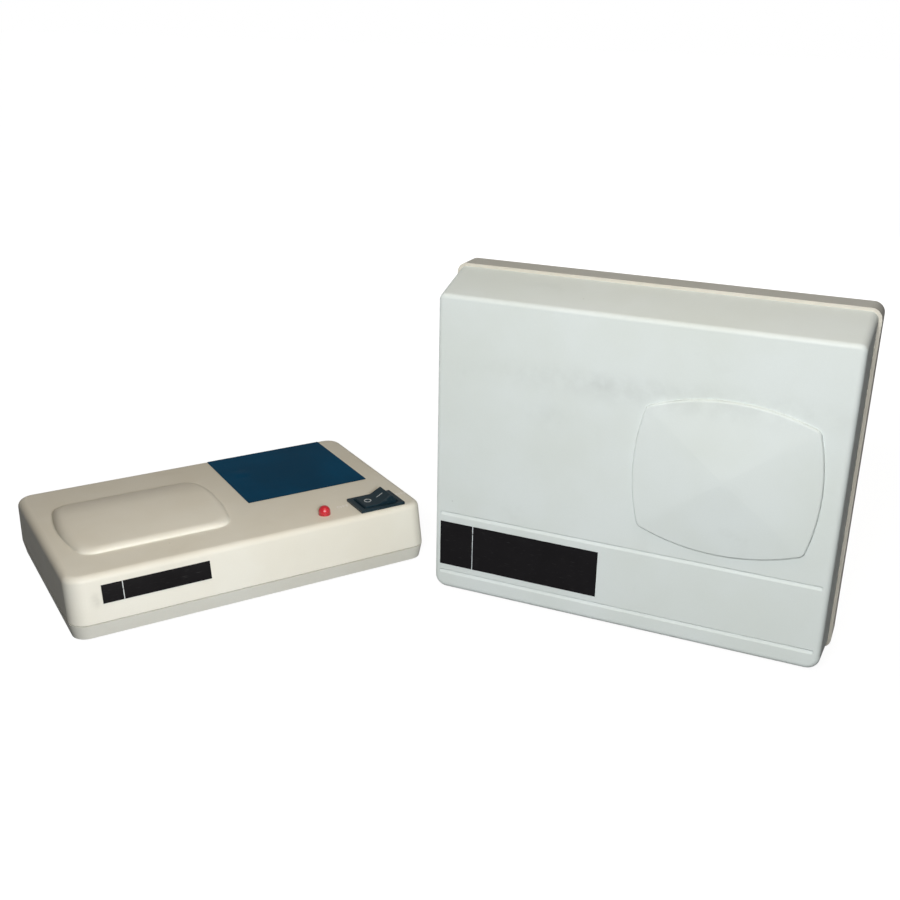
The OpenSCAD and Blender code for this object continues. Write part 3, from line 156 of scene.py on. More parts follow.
class OutdoorSizes(bpy.types.PropertyGroup):
    """Sizes of the outdoor mast box."""

    width: size("Width", 157.4, "Width of the rim")
    height: size("Height", 132.5, "Height of the rim")
    part_y: size("Parting", -13, "Where the cover meets the rim")
    front_y: size("Front", -35, "Where the cover's face lies")
    rim_corner: size("Rim corner", 4, "Corner radius of the rim")
    rim_wall: size("Rim wall", 4.4, "Wall of the rim")
    lip: size("Rim lip", 1.2, "How far the rim stands proud of the cover")
    draft: size("Draft", 0.6, "How far the cover's sides draw in towards its face")
    roof_drop: size("Roof drop", 6, "Fall of the cover's sloping roof")
    corner: size("Face corner", 5, "Radius of the lower corners of the cover's face")
    roof_corner: size("Roof corner", 2.8, "Radius of the corners where the roof meets the cover's sides")
    edge: size("Face edge", 2, "Rounding of the face's edges")
    wall: size("Cover wall", 2.2, "Wall of the cover")
    badge_x: size("Badge place", 36, "Middle of the badge from the middle of the face")
    badge_z: size("Badge height", 70, "Height of the badge's middle")
    badge_w: size("Badge width", 60.4, "Width of the badge between its corners")
    badge_h: size("Badge depth", 47, "Height of the badge between its corners")
    badge_bow_x: size("Badge side bow", 3.4, "How far the badge's sides bow out")
    badge_bow_z: size("Badge top bow", 6, "How far the badge's top and bottom bow out")
    badge_corner: size("Badge corner", 3, "Corner radius of the badge")
    badge_edge: size("Badge edge", 1.3, "Height of the badge's edge above the face")
    badge_round: size("Badge rounding", 0.8, "Rounding of the badge's edge")
    badge_peak: size("Badge peak", 2.2, "Height of the badge's peak above its edge")
    groove_low: size("Lower groove", 9.2, "Height of the lower groove")
    groove_high: size("Upper groove", 35.2, "Height of the upper groove")
    groove_w: size("Groove width", 1.8, "Width of the grooves")
    groove_end: size("Groove end", 2.6, "Distance of the groove ends from the face's sides")
    tongue_end: size("Tongue end", 18, "Distance of the tongues from the rim's corners")
    tongue_l: size("Tongue length", 3.4, "Length of the tongues that hold the cover")
    tongue_t: size("Tongue thickness", 1.4, "Thickness of the tongues")
    tongue_root: size("Tongue root", 2, "Length of the tongues' roots inside the cover")
    tongue_gap: size("Tongue gap", 0.25, "Clearance between the tongues and the rim")


class Finishes(bpy.types.PropertyGroup):
    """Colours of the finishes."""

    beige: tint("Ivory plastic", 234, 235, 227, "Case of the indoor unit")
    white: tint("White plastic", 213, 221, 220, "Cover of the outdoor unit")
    case: tint("Case plastic", 212, 208, 196, "Case of the outdoor unit")
    navy: tint("Blue panel", 1, 63, 97, "Stuck-on panel of the indoor unit")
    black: tint("Black film", 22, 21, 23, "Stuck-on labels")
    switch: tint("Switch plastic", 14, 39, 50, "Rocker switch")
    mark: tint("Printed white", 208, 216, 220, "Printed lines and marks")
    lamp: tint("Lamp", 208, 20, 44, "Lens of the lamp")
    rubber: tint("Rubber", 34, 34, 36, "Feet and grommets")
    zinc: tint("Zinc-plated steel", 176, 178, 178, "Screws, strap and washers")
    brass: tint("Brass", 196, 160, 88, "Nuts, tabs and inserts")
    nickel: tint("Nickel", 198, 198, 192, "Coax sockets")
    copper: tint("Copper wire", 176, 98, 54, "Air-wound coils")
    floor: tint("Floor", 236, 236, 234, "Floor of the stage")


class StageSettings(bpy.types.PropertyGroup):
    """Camera and light."""

    eye: bpy.props.FloatVectorProperty(
        name="Camera place", description="Where the camera stands", size=3,
        unit="LENGTH", subtype="TRANSLATION", default=(0.0959, -0.41527, 0.2257))
    heading: angle("Heading", 23.684, "Turn of the camera to the left of the outdoor unit's depth")
    pitch: angle("Pitch", 21.421, "How far the camera looks down")
    roll: angle("Roll", 1.053, "Turn of the camera about its view")
    lens: bpy.props.FloatProperty(
        name="Focal length", description="Focal length of the lens", default=45.375, unit="CAMERA")
    indoor: power("Indoor light", 1.12, "Power of the light before the indoor unit")
    over: power("Indoor top light", 0.33, "Power of the light over the indoor unit")
    back: power("Back light", 2.7, "Power of the light behind the indoor unit")
    outdoor: power("Outdoor light", 3.75, "Power of the light before the outdoor unit")
    rear: power("Rear light", 7.0, "Power of the light behind the outdoor unit")
    left: power("Left light", 3.0, "Power of the light at the outdoor unit's left")
    top: power("Top light", 0.25, "Power of the light overhead")
    over_tint: tint("Indoor top light tint", 255, 222, 172, "Colour of the light over the indoor unit")
    top_tint: tint("Top light tint", 255, 230, 196, "Colour of the light overhead")
    sky: bpy.props.FloatProperty(name="Sky", description="Strength of the light from all round", default=0.03)


# Shaders


def operator(operation):
    """A method that adds a Math node to a wire."""
    return lambda wire, *others: wire.math(operation, *others)


class Wire:
    """A shader socket that takes part in sums: an expression on wires adds its Math nodes."""

    def __init__(self, sheet, socket):
        self.sheet = sheet
        self.socket = socket

    def math(self, operation, *others):
        """The result of a Math node that starts from this wire."""
        return self.sheet.node("ShaderNodeMath", {"operation": operation}, dict(enumerate((self, *others))))

    def wave(self):
        """The sine of this wire, from 0 to 1."""
        return self.math("SINE") * 0.5 + 0.5

    def __rsub__(self, other):
        return self.sheet.node("ShaderNodeMath", {"operation": "SUBTRACT"}, {0: other, 1: self})

    __add__ = __radd__ = operator("ADD")
    __mul__ = __rmul__ = operator("MULTIPLY")
    __sub__ = operator("SUBTRACT")
    __truediv__ = operator("DIVIDE")
    __abs__ = operator("ABSOLUTE")
    __gt__ = operator("GREATER_THAN")
    __lt__ = operator("LESS_THAN")


class Sheet:
    """One material's or world's node tree, with the coordinates that its patterns follow."""

    def __init__(self, owner, coords=None):
        owner.use_nodes = True
        self.owner = owner
        self.tree = owner.node_tree
        self.tree.nodes.clear()
        self.where = coords(self) if coords else None

    def node(self, kind, settings=None, sockets=None, out=0):
        """Adds a node: its settings first, then the values or links of its sockets. Gives one output."""
        made = put(self.tree.nodes.new(kind), **(settings or {}))
        for key, value in (sockets or {}).items():
            if isinstance(value, Wire):
                self.tree.links.new(value.socket, made.inputs[key])
            else:
                made.inputs[key].default_value = value
        return Wire(self, made.outputs[out])

    def place(self):
        """Coordinates that stay with the piece, in metres."""
        return self.node("ShaderNodeTexCoord", out="Object")

    def indoor_place(self):
        """Coordinates of the indoor unit's own frame, in metres."""
        indoor = bpy.context.scene.amplifier_indoor
        return self.node("ShaderNodeMapping", {"vector_type": "TEXTURE"}, {
            "Vector": self.place(), "Location": (indoor.place_x, indoor.place_y, 0),
            "Rotation": (0, 0, indoor.turn)})

    def axes(self):
        """The three parts of the coordinates."""
        made = self.node("ShaderNodeSeparateXYZ", {}, {0: self.where})
        return [Wire(self, output) for output in made.socket.node.outputs]

    def noise(self, scale, detail=2.0, roughness=0.5, distortion=0.0, stretch=None):
        """Cloudy pattern from 0 to 1, with scale counted per metre, also drawn out along the axes."""
        where = self.vector("MULTIPLY", self.where, stretch) if stretch else self.where
        return self.node("ShaderNodeTexNoise", {}, {
            "Vector": where, "Scale": scale, "Detail": detail, "Roughness": roughness,
            "Distortion": distortion})

    def ramp(self, value, low, high):
        """0 below low, 1 above high, smooth between."""
        return self.node("ShaderNodeMapRange", {"interpolation_type": "SMOOTHSTEP"}, {
            0: value, 1: low, 2: high, 3: 0.0, 4: 1.0})

    def vector(self, operation, a, b=None, out=0):
        """The result of a Vector Math node."""
        sockets = {0: a} if b is None else {0: a, 1: b}
        return self.node("ShaderNodeVectorMath", {"operation": operation}, sockets, out)

    def blend(self, factor, a, b):
        """Colour b over colour a, as far as factor says."""
        return self.node("ShaderNodeMix", {"data_type": "RGBA"}, {0: factor, 6: a, 7: b}, 2)

    def spot(self, centre, reach):
        """1 at a place, falling softly to 0 at its reach along each axis, both in millimetres."""
        away = self.vector("SUBTRACT", self.where, tuple(c * MM for c in centre))
        share = self.vector("DIVIDE", away, tuple(r * MM for r in reach))
        return 1 - self.ramp(self.vector("LENGTH", share, out="Value"), 0.0, 1.0)

    def specks(self, scale, reach, patches):
        """1 on specks of dust that lie in patches."""
        dust = self.node("ShaderNodeTexVoronoi", {"feature": "F1"}, {"Vector": self.where, "Scale": scale})
        return (dust < reach) * (self.noise(patches, 1.0) > 0.6)

    def bump(self, height, depth, strength, under=None):
        """Fine relief, with its depth in millimetres."""
        sockets = {"Strength": strength, "Distance": depth * MM, "Height": height}
        if under is not None:
            sockets["Normal"] = under
        return self.node("ShaderNodeBump", {}, sockets)

    def surface(self, **sockets):
        """Ends the material in a Principled shader, whose sockets are named with underscores for spaces."""
        self.end(self.node("ShaderNodeBsdfPrincipled", {}, {
            key.replace("_", " "): value for key, value in sockets.items()}))
        return self.owner

    def end(self, shader, kind="ShaderNodeOutputMaterial"):
        """Links the last shader to the tree's output."""
        self.tree.links.new(shader.socket, self.tree.nodes.new(kind).inputs["Surface"])


def sheet(name, coords=Sheet.place):
    """A new material to draw on."""
    return Sheet(bpy.data.materials.new(name), coords)


def shade(colour, factor=1.0):
    """A colour made darker or lighter, with its alpha."""
    return tuple(min(1.0, c * factor) for c in colour) + (1.0,)


def moulded_plastic(
        name, colour, coords=Sheet.place, patches_and_painted_shade=(), warm=(1.0, 0.985, 0.955), rough=0.44, gloss=0.45):
    """Injection-moulded plastic: cloudy tone, fine grain, dust specks, and faint darker patches from a list,
    which holds handling marks and painted shade.
    """
    s = sheet(name, coords)
    cloud = s.noise(26.0, 3.0, 0.55)
    grain = s.noise(2300.0, 1.0)
    stain = s.ramp(s.noise(44.0, 4.0, 0.6, 0.4), 0.6, 0.82)
    aged = tuple(c * w for c, w in zip(colour, warm))
    tone = s.blend(s.ramp(cloud, 0.3, 0.72), shade(colour, 1.015), shade(aged, 0.965))
    tone = s.blend(stain * 0.35, tone, shade(aged, 0.86))
    tone = s.blend((grain - 0.5) * 0.16 + 0.06, tone, shade(colour, 0.8))
    tone = s.blend(s.specks(130.0, 0.045, 60.0) * 0.3, tone, shade(aged, 0.42))
    # Listed darker patches: handling marks, and painted shade where the list holds it
    for centre, reach, depth in patches_and_painted_shade:
        mottle = s.ramp(s.noise(160.0, 3.0, 0.6), 0.25, 0.75)
        tone = s.blend(s.spot(centre, reach) * mottle * depth, tone, shade(aged, 0.55))
    relief = s.bump(s.noise(1500.0, 2.0, 0.6), 0.04, 0.35)
    return s.surface(
        Base_Color=tone, Roughness=rough + 0.1 * cloud + 0.06 * (grain - 0.5) + 0.08 * stain, Normal=relief,
        Specular_IOR_Level=gloss)


def metal(name, colour, rough=0.32, pits=1400.0, dull=0.72):
    """Bare or plated metal: cloudy tarnish, fine drawing lines and small pits."""
    s = sheet(name)
    tarnish = s.ramp(s.noise(240.0, 4.0, 0.6), 0.4, 0.75)
    lines = s.noise(pits, stretch=(1.0, 1.0, 14.0))
    tone = s.blend(tarnish * 0.55, shade(colour, 1.05), shade(colour, dull))
    return s.surface(
        Base_Color=tone, Metallic=1.0, Roughness=rough + 0.22 * tarnish + 0.1 * (lines - 0.5),
        Normal=s.bump(lines, 0.02, 0.4))


def soft_rubber(name, colour):
    """Matt rubber with a dusty bloom."""
    s = sheet(name)
    bloom = s.ramp(s.noise(190.0, 4.0, 0.62), 0.42, 0.78)
    grain = s.noise(2600.0)
    tone = s.blend(bloom * 0.5, shade(colour, 0.9), shade(colour, 2.3))
    return s.surface(Base_Color=tone, Roughness=0.72 + 0.16 * bloom, Normal=s.bump(grain, 0.05, 0.5))


def dipped(name, colour, rough=0.35, scale=420.0):
    """Dipped, moulded or wound small part: mottled colour with a fine skin."""
    s = sheet(name)
    mottle = s.ramp(s.noise(scale, 3.0, 0.6), 0.3, 0.75)
    skin = s.noise(3200.0)
    tone = s.blend(mottle, shade(colour, 1.08), shade(colour, 0.78))
    return s.surface(Base_Color=tone, Roughness=rough + 0.16 * mottle, Normal=s.bump(skin, 0.03, 0.5))


def banded(name, colour, bands, pitch, start):
    """Small barrels with painted rings, which repeat with the barrels' pitch from left to right."""
    s = sheet(name)
    run = s.axes()[0] - start * MM
    local = (run / (pitch * MM)).math("FRACT") * (pitch * MM)
    mottle = s.noise(700.0, 3.0)
    tone = s.blend(mottle, shade(colour, 1.05), shade(colour, 0.82))
    for middle, half, paint in bands:
        ring = abs(local - middle * MM) < half * MM
        tone = s.blend(ring, tone, shade([linear(c) for c in paint]))
    return s.surface(Base_Color=tone, Roughness=0.34 + 0.12 * mottle)


def circuit_board(name, colour, copper, coords=Sheet.place, across=(0, 2)):
    """Circuit board: lacquer over faint copper tracks, with the weave or paper showing a little."""
    s = sheet(name, coords)
    parts = s.axes()
    u, v = (parts[axis] for axis in across)
    pitch = 7.5 * MM
    threads = 4200.0
    wander = s.noise(90.0, 1.0)
    track_u = abs((u / pitch + wander * 1.6).math("FRACT") - 0.5) < 0.13
    track_v = abs((v / (pitch * 1.35) + wander * 1.2).math("FRACT") - 0.5) < 0.1
    patch = s.noise(55.0, 0.0) > 0.5
    track = (track_u * patch + track_v * (1 - patch)).math("MINIMUM", 1.0)
    weave = ((u * threads).math("SINE") * (v * threads).math("SINE")) * 0.5 + 0.5
    lacquer = s.noise(300.0, 3.0)
    tone = s.blend(lacquer, shade(colour, 1.1), shade(colour, 0.8))
    tone = s.blend(track * 0.55, tone, shade(copper))
    height = track * 0.8 + weave * 0.2
    return s.surface(Base_Color=tone, Roughness=0.3 + 0.18 * lacquer, Normal=s.bump(height, 0.04, 0.6))


# Shapes


def move_in(unit):
    """Where the indoor unit's own frame stands."""
    return Matrix.Translation((unit.place_x, unit.place_y, 0)) @ Matrix.Rotation(unit.turn, 4, "Z")


def arc(cx, cy, r, start, end, steps):
    """Points on an arc, ends included."""
    turns = [start + (end - start) * i / steps for i in range(steps + 1)]
    return [(cx + r * math.cos(a), cy + r * math.sin(a)) for a in turns]


def circle(r, steps=40):
    """Points on a circle about the middle."""
    return arc(0, 0, r, 0, 2 * math.pi * (steps - 1) / steps, steps - 1)


def round_box(x0, x1, y0, y1, r, steps=12, high=None):
    """Outline of a rectangle with round corners, anticlockwise; high is the radius of the two at y1."""
    high = high or r
    corners = [(x1 - r, y0 + r, r), (x1 - high, y1 - high, high),
               (x0 + high, y1 - high, high), (x0 + r, y0 + r, r)]
    points = []
    for i, (cx, cy, corner_r) in enumerate(corners):
        start = math.radians(90 * i - 90)
        points += arc(cx, cy, corner_r, start, start + math.pi / 2, steps)
    return points


def bowed_box(w, h, bow_x, bow_y, corner, inset, side_steps=14, knee_steps=8, top_steps=18):
    """Outline of a rectangle whose sides bow out, drawn in by inset, with round corners, anticlockwise."""
    side_r = (h * h / 4 + bow_x * bow_x) / (2 * bow_x)
    top_r = (w * w / 4 + bow_y * bow_y) / (2 * bow_y)
    side = Vector((w / 2 + bow_x - side_r, 0))
    top = Vector((0, h / 2 + bow_y - top_r))
    r = corner - inset
    a, b = side_r - inset - r, top_r - inset - r
    gap = top - side
    d = gap.length
    run = (a * a - b * b + d * d) / (2 * d)
    rise = math.sqrt(a * a - run * run)
    foot = side + gap * (run / d)
    off = Vector((-gap.y, gap.x)) / d * rise
    centre = max(foot + off, foot - off, key=lambda p: p.x + p.y)
    lean_side = math.atan2(centre.y, centre.x - side.x)
    lean_top = math.atan2(centre.y - top.y, centre.x)
    right = arc(side.x, 0, side_r - inset, -lean_side, lean_side, side_steps)
    knee = arc(centre.x, centre.y, r, lean_side, lean_top, knee_steps)[1:-1]
    upper = arc(0, top.y, top_r - inset, lean_top, math.pi - lean_top, top_steps)
    half = right + knee + upper + [(-x, y) for x, y in reversed(knee)]
    return half + [(-x, -y) for x, y in half]


def edge_run(start, bend, end, first):
    """Steps along a wall to its bend and on round its edge to the end; first is the first step's share."""
    steps = [start + (bend - start) * share for share in (0.0, first, 0.3, 0.65, 1.0)]
    return steps + [bend + (end - bend) * math.sin(math.radians(a)) for a in range(8, 91, 8)] + [end]


def edge_inset(past, r):
    """How far a rounded edge has drawn in at a distance past its bend."""
    share = max(0.0, min(1.0, past / r))
    return r * (1 - math.sqrt(1 - share * share))


def lean_angle(over, rise, r):
    """Slope of a wall that leans over in its rise and runs smoothly into its rounded edge."""
    return math.atan2(over, rise) - math.asin(r / math.hypot(over, rise))


def add_object(name, data):
    """A new object in the scene."""
    made = bpy.data.objects.new(name, data)
    bpy.context.scene.collection.objects.link(made)
    return made


def mesh_from(name, form):
    """A mesh made of a form, which is used up."""
    mesh = bpy.data.meshes.new(name)
    form.to_mesh(mesh)
    form.free()
    return mesh


def loft(name, rings, peak=None):
    """Closed form through rings of points, its first end flat and its last end flat or drawn to a peak."""
    form = bmesh.new()
    rows = [[form.verts.new(p) for p in ring] for ring in rings]
    count = len(rows[0])
    for low, high in zip(rows, rows[1:]):
        for i in range(count):
            j = (i + 1) % count
            form.faces.new((low[i], low[j], high[j], high[i]))
    form.faces.new(list(reversed(rows[0])))
    if peak is None:
        form.faces.new(rows[-1])
    else:
        tip = form.verts.new(peak)
        for i in range(count):
            form.faces.new((rows[-1][i], rows[-1][(i + 1) % count], tip))
    bmesh.ops.recalc_face_normals(form, faces=form.faces)
    return add_object(name, mesh_from(name, form))


def prism(outline, low, high, name="tool"):
    """Upright form over an outline, between two heights."""
    return loft(name, [[(x, y, z) for x, y in outline] for z in (low, high)])


def rod(start, end, r):
    """Round bar between two points, only used to cut or to join."""
    start, end = Vector(start), Vector(end)
    turn = (end - start).to_track_quat("Z", "Y").to_matrix()
    ring = [turn @ Vector((x, y, 0)) for x, y in circle(r)]
    return loft("tool", [[p + c for p in ring] for c in (start, end)])


def modify(piece, kind, **settings):
    """Adds a modifier with its settings."""
    put(piece.modifiers.new(kind.lower(), kind), **settings)


def mesh_of(piece):
    """A new mesh of a piece as its modifiers leave it."""
    return bpy.data.meshes.new_from_object(piece.evaluated_get(bpy.context.evaluated_depsgraph_get()))


def carve(target, tool, how="DIFFERENCE"):
    """Cuts or joins a tool, which is used up."""
    modify(target, "BOOLEAN", operation=how, solver="EXACT", object=tool)
    old, target.data = target.data, mesh_of(target)
    target.modifiers.clear()
    bpy.data.meshes.remove(old)
    bpy.data.objects.remove(tool)


def shade_smooth(piece):
    """Smooth shading on every face."""
    piece.data.polygons.foreach_set("use_smooth", [True] * len(piece.data.polygons))


def smooth(piece, degrees):
    """Smooth shading that keeps flat faces flat and edges above an angle hard."""
    shade_smooth(piece)
    piece.data.set_sharp_from_angle(angle=math.radians(degrees))
    modify(piece, "WEIGHTED_NORMAL", keep_sharp=True)


def coat(piece, material):
    """Gives a piece its only material."""
    piece.data.materials.clear()
    piece.data.materials.append(material)


def finish_piece(piece, body, slot, material, *stands_for, place=None):
    """Gives a piece its place, its body and its material; its slot is not used."""
    if place is not None:
        piece.data.transform(place)
    coat(piece, material)
    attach(piece, body)
    if stands_for:
        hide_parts(*stands_for)


# In CAD meshes corners this near are one, and faces that turn less than this are flat
WELD_REACH = 0.003 * MM
FLAT_TURN = math.radians(0.5)


def dress(material, *nodes, ease=0.0, limit=35):
    """Gives CAD nodes a material and edges eased by so many millimetres; their meshes stay as they are."""
    for name in nodes:
        node = frame["nodes"][name]
        coat(node, material)
        shade_smooth(node)
        modify(node, "WELD", merge_threshold=WELD_REACH)
        modify(node, "DECIMATE", decimate_type="DISSOLVE", angle_limit=FLAT_TURN)
        if ease:
            modify(node, "BEVEL", width=ease * MM, segments=2, limit_method="ANGLE",
                   angle_limit=math.radians(limit), use_clamp_overlap=True, loop_slide=False,
                   miter_outer="MITER_ARC")
        modify(node, "WEIGHTED_NORMAL", keep_sharp=True)


# Stage


# How much of the white that the camera sees also shows in mirroring surfaces
FLOOR_MIRRORED = 0.28
SKY_MIRRORED = 0.22
# The floor lies a little under the feet
FLOOR_DROP = 0.05 * MM


def stage_camera(scene, stage):
    """Camera with everything sharp, where the photograph was taken from."""
    data = put(bpy.data.cameras.new("camera"), sensor_width=36, lens=stage.lens, clip_start=0.01)
    data.dof.use_dof = False
    scene.camera = add_object("camera", data)
    scene.camera.matrix_world = (
        Matrix.Translation(stage.eye) @ Matrix.Rotation(stage.heading, 4, "Z")
        @ Matrix.Rotation(math.pi / 2 - stage.pitch, 4, "X") @ Matrix.Rotation(stage.roll, 4, "Z"))


def stage_lights(scene, stage):
    """Soft lights that each reach one unit, and one overhead; reflections show only front and top ones."""
    units = lit_units(scene)
    plain = (1.0, 1.0, 1.0)
    indoor_middle = (-0.17, -0.05, 0.02)
    for name, place, aim, width, watts, colour in (
        ("indoor_front", (0.09, -0.31, 0.19), indoor_middle, 0.08, stage.indoor, plain),
        ("indoor_over", (-0.1, -0.22, 0.47), indoor_middle, 0.25, stage.over, stage.over_tint),
        ("indoor_back", (-0.83, 0.59, 0.08), indoor_middle, 0.6, stage.back, plain),
        ("outdoor_front", (0.05, -0.55, 0.33), (0.0, -0.035, -0.3), 0.26, stage.outdoor, plain),
        ("outdoor_back", (-0.1, 0.85, 0.2), (0.0, 0.04, 0.065), 0.6, stage.rear, plain),
        ("outdoor_left_back", (-0.9, 0.1, 0.14), (-0.08, 0.0, 0.07), 0.5, stage.left, plain),
        ("top", (0.03, -0.12, 0.4), (-0.03, -0.03, 0.1), 0.2, stage.top, stage.top_tint),
    ):
        data = bpy.data.lights.new(name, "AREA")
        put(data, shape="SQUARE", size=width, energy=watts, color=colour)
        turn = (Vector(place) - Vector(aim)).to_track_quat("Z", "Y").to_euler()
        lamp = put(add_object(name, data), location=place, rotation_euler=turn, visible_camera=False)
        lamp.visible_glossy = name.endswith(("front", "top"))
        lamp.light_linking.receiver_collection = units.get(name.split("_")[0])


def lit_units(scene):
    """The pieces of each unit, told apart by the place of their middle, and those under the top light."""
    units = {name: bpy.data.collections.new(name + "_lit") for name in ("indoor", "outdoor", "top")}
    for piece in scene.objects:
        if piece.type == "MESH":
            middle = sum((Vector(corner) for corner in piece.bound_box), Vector()) / 8
            near = middle.x < -scene.amplifier_outdoor.width / 2
            units["indoor" if near else "outdoor"].objects.link(piece)
            if piece != frame["nodes"]["outdoor_case"]:
                units["top"].objects.link(piece)
    return units


def stage_floor(finishes):
    """Pale floor that glows for the camera, a little less near the object, and keeps its shadow."""
    form = bmesh.new()
    bmesh.ops.create_grid(form, x_segments=8, y_segments=8, size=6.0)
    ground = add_object("floor", mesh_from("floor", form))
    ground.location.z = -FLOOR_DROP
    s = sheet("floor_paint")
    far = s.ramp(s.vector("LENGTH", s.where, out="Value"), 0.2, 0.6)
    glow = seen(s, FLOOR_MIRRORED) * (0.93 + 0.07 * far)
    ground.data.materials.append(s.surface(
        Base_Color=shade(finishes.floor, 0.15), Roughness=0.9, Specular_IOR_Level=0.0,
        Emission_Color=s.node("ShaderNodeCombineColor", {}, {0: glow, 1: glow, 2: glow}),
        Emission_Strength=1.0))


def seen(s, glossy):
    """1 for what the camera sees straight or through glass, less for what it sees mirrored."""
    outputs = s.node("ShaderNodeLightPath").socket.node.outputs
    direct = Wire(s, outputs["Is Camera Ray"]).math("MAXIMUM", Wire(s, outputs["Is Transmission Ray"]))
    return direct.math("MAXIMUM", Wire(s, outputs["Is Glossy Ray"]) * glossy)


def stage_sky(scene, stage):
    """White background that gives only a little light from all round."""
    scene.world = bpy.data.worlds.new("sky")
    s = Sheet(scene.world)
    dim, white = (
        s.node("ShaderNodeBackground", {}, {"Color": (1, 1, 1, 1), "Strength": strength})
        for strength in (stage.sky, 1.0))
    shown = s.node("ShaderNodeMixShader", {}, {0: seen(s, SKY_MIRRORED), 1: dim, 2: white})
    s.end(shown, "ShaderNodeOutputWorld")


class AMPLIFIER_OT_stage(bpy.types.Operator):
    """Sets the camera, the light and the floor"""

    bl_idname = "amplifier.stage"
    bl_label = "Stage"

    def execute(self, context):
        scene = context.scene
        stage = scene.amplifier_stage
        scene.view_settings.view_transform = "Standard"
        stage_camera(scene, stage)
        stage_floor(scene.amplifier_finishes)
        stage_lights(scene, stage)
        stage_sky(scene, stage)
        return {"FINISHED"}


# Indoor unit


# Handling marks: middle and reach in the unit's own millimetres, and depth
INDOOR_SMUDGES = (
    ((-65.5, -45.2, 16.0), (3.2, 6.0, 4.6), 0.5),
    ((-20.0, 10.0, 25.0), (34.0, 22.0, 8.0), 0.06),
)
# The cushion's foot: how far it is drawn in, in millimetres, and its share of the height
CUSHION_FLARE = ((-0.7, 0.005), (-0.3, 0.03), (-0.05, 0.08))
CUSHION_ROOT_IN = -1.3 * MM
CUSHION_ROOT_DEEP = 0.4 * MM
# Share of the crest that is lost at the cushion's ends, and how the front and the back fall
CUSHION_END_LOSS = 0.35
CUSHION_FRONT_FALL = 1.35
CUSHION_BACK_FALL = 2


def indoor_shell(unit):
    """Closed form of the indoor top, with its front leaning back and its edges rounded."""
    bend = unit.height - unit.edge
    slope = lean_angle(unit.lean + unit.edge, bend - unit.seam, unit.edge)
    touch = bend + unit.edge * math.sin(slope)
    half_l, half_d = unit.length / 2, unit.depth / 2
    rings = []
    for z in edge_run(unit.seam, bend, unit.height, 0.03):
        inset = edge_inset(z - bend, unit.edge)
        front = (z - unit.seam) * math.tan(slope) if z < touch else unit.lean + inset
        outline = round_box(
            inset - half_l, half_l - inset, front - half_d, half_d - inset, unit.corner - inset)
        rings.append([(x, y, z) for x, y in outline])
    return loft("indoor_case_top", rings)


def cushion(unit):
    """Cushion with a flared foot, rolled edges and a crowned top."""
    roll_steps, spans = 14, 18
    rows = [(out * MM, out * MM, share) for out, share in CUSHION_FLARE]
    for i in range(2, roll_steps + 1):
        rise = math.pi / 2 * i / roll_steps
        drawn = 1 - math.cos(rise)
        rows.append((unit.cushion_end * drawn, unit.cushion_front * drawn, math.sin(rise)))
    root = cushion_outline(unit, CUSHION_ROOT_IN, CUSHION_ROOT_IN)
    rings = [[(unit.cushion_x + x, y, unit.height - CUSHION_ROOT_DEEP) for x, y in root]]
    for end_in, side_in, share in rows:
        outline = cushion_outline(unit, end_in, side_in)
        rings.append([cushion_point(unit, x, y, share) for x, y in outline])
    for i in range(1, spans):
        near = 1 - i / spans
        rings.append([cushion_point(unit, near * x, near * y) for x, y in outline])
    return loft("cushion", rings, cushion_point(unit, 0.0, 0.0))


def cushion_point(unit, x, y, share=1.0):
    """Point of the cushion at a share of its height: low in front, highest at its crest, falling behind."""
    half_d = unit.cushion_d / 2
    crest_y = half_d - unit.cushion_back
    across = x / (unit.cushion_l / 2 + unit.cushion_bow)
    crest = unit.cushion_lip + (unit.cushion_h - unit.cushion_lip) * (1 - CUSHION_END_LOSS * across * across)
    if y < crest_y:
        fall = (crest - unit.cushion_lip) * ((crest_y - y) / (crest_y + half_d)) ** CUSHION_FRONT_FALL
    else:
        fall = (crest - unit.cushion_tail) * ((y - crest_y) / unit.cushion_back) ** CUSHION_BACK_FALL
    return unit.cushion_x + x, y, unit.height + share * (crest - fall)


def cushion_outline(unit, end_in, side_in):
    """Outline of the cushion, drawn in at its ends and at its long sides, which are all but straight."""
    bow_r = (unit.cushion_d ** 2 / 4 + unit.cushion_bow ** 2) / (2 * unit.cushion_bow)
    half_l = unit.cushion_l / 2 + unit.cushion_bow - end_in
    depth = unit.cushion_d - 2 * side_in
    bow = bow_r - math.sqrt(bow_r ** 2 - depth ** 2 / 4)
    side_bow = 0.02 * MM
    return bowed_box(2 * (half_l - bow), depth, bow, side_bow, unit.cushion_corner, 0.0)


def indoor_hollow(unit):
    """Inside of the indoor top, open at the seam."""
    x, y = unit.length / 2 - unit.wall, unit.depth / 2 - unit.wall
    rings = []
    for z, front in ((unit.seam - MM, 0.0), (unit.height - unit.wall, unit.lean)):
        outline = round_box(-x, x, front - y, y, unit.corner - unit.wall, 8)
        rings.append([(px, py, z) for px, py in outline])
    return loft("tool", rings)


def boss_places(unit):
    """Two screws in the back corners and two nearer the middle of the front."""
    for side in (-1, 1):
        yield side * (unit.length / 2 - unit.screw_in), unit.depth / 2 - unit.screw_in
        yield side * unit.front_screw_x, unit.screw_in - unit.depth / 2


def bosses(top, unit):
    """Joins the screw bosses and drills them."""
    for x, y in boss_places(unit):
        carve(top, rod((x, y, unit.seam), (x, y, unit.height - unit.wall / 2), unit.boss_r), "UNION")
        carve(top, rod((x, y, unit.seam - MM), (x, y, unit.seam + unit.pilot_deep), unit.pilot_r))


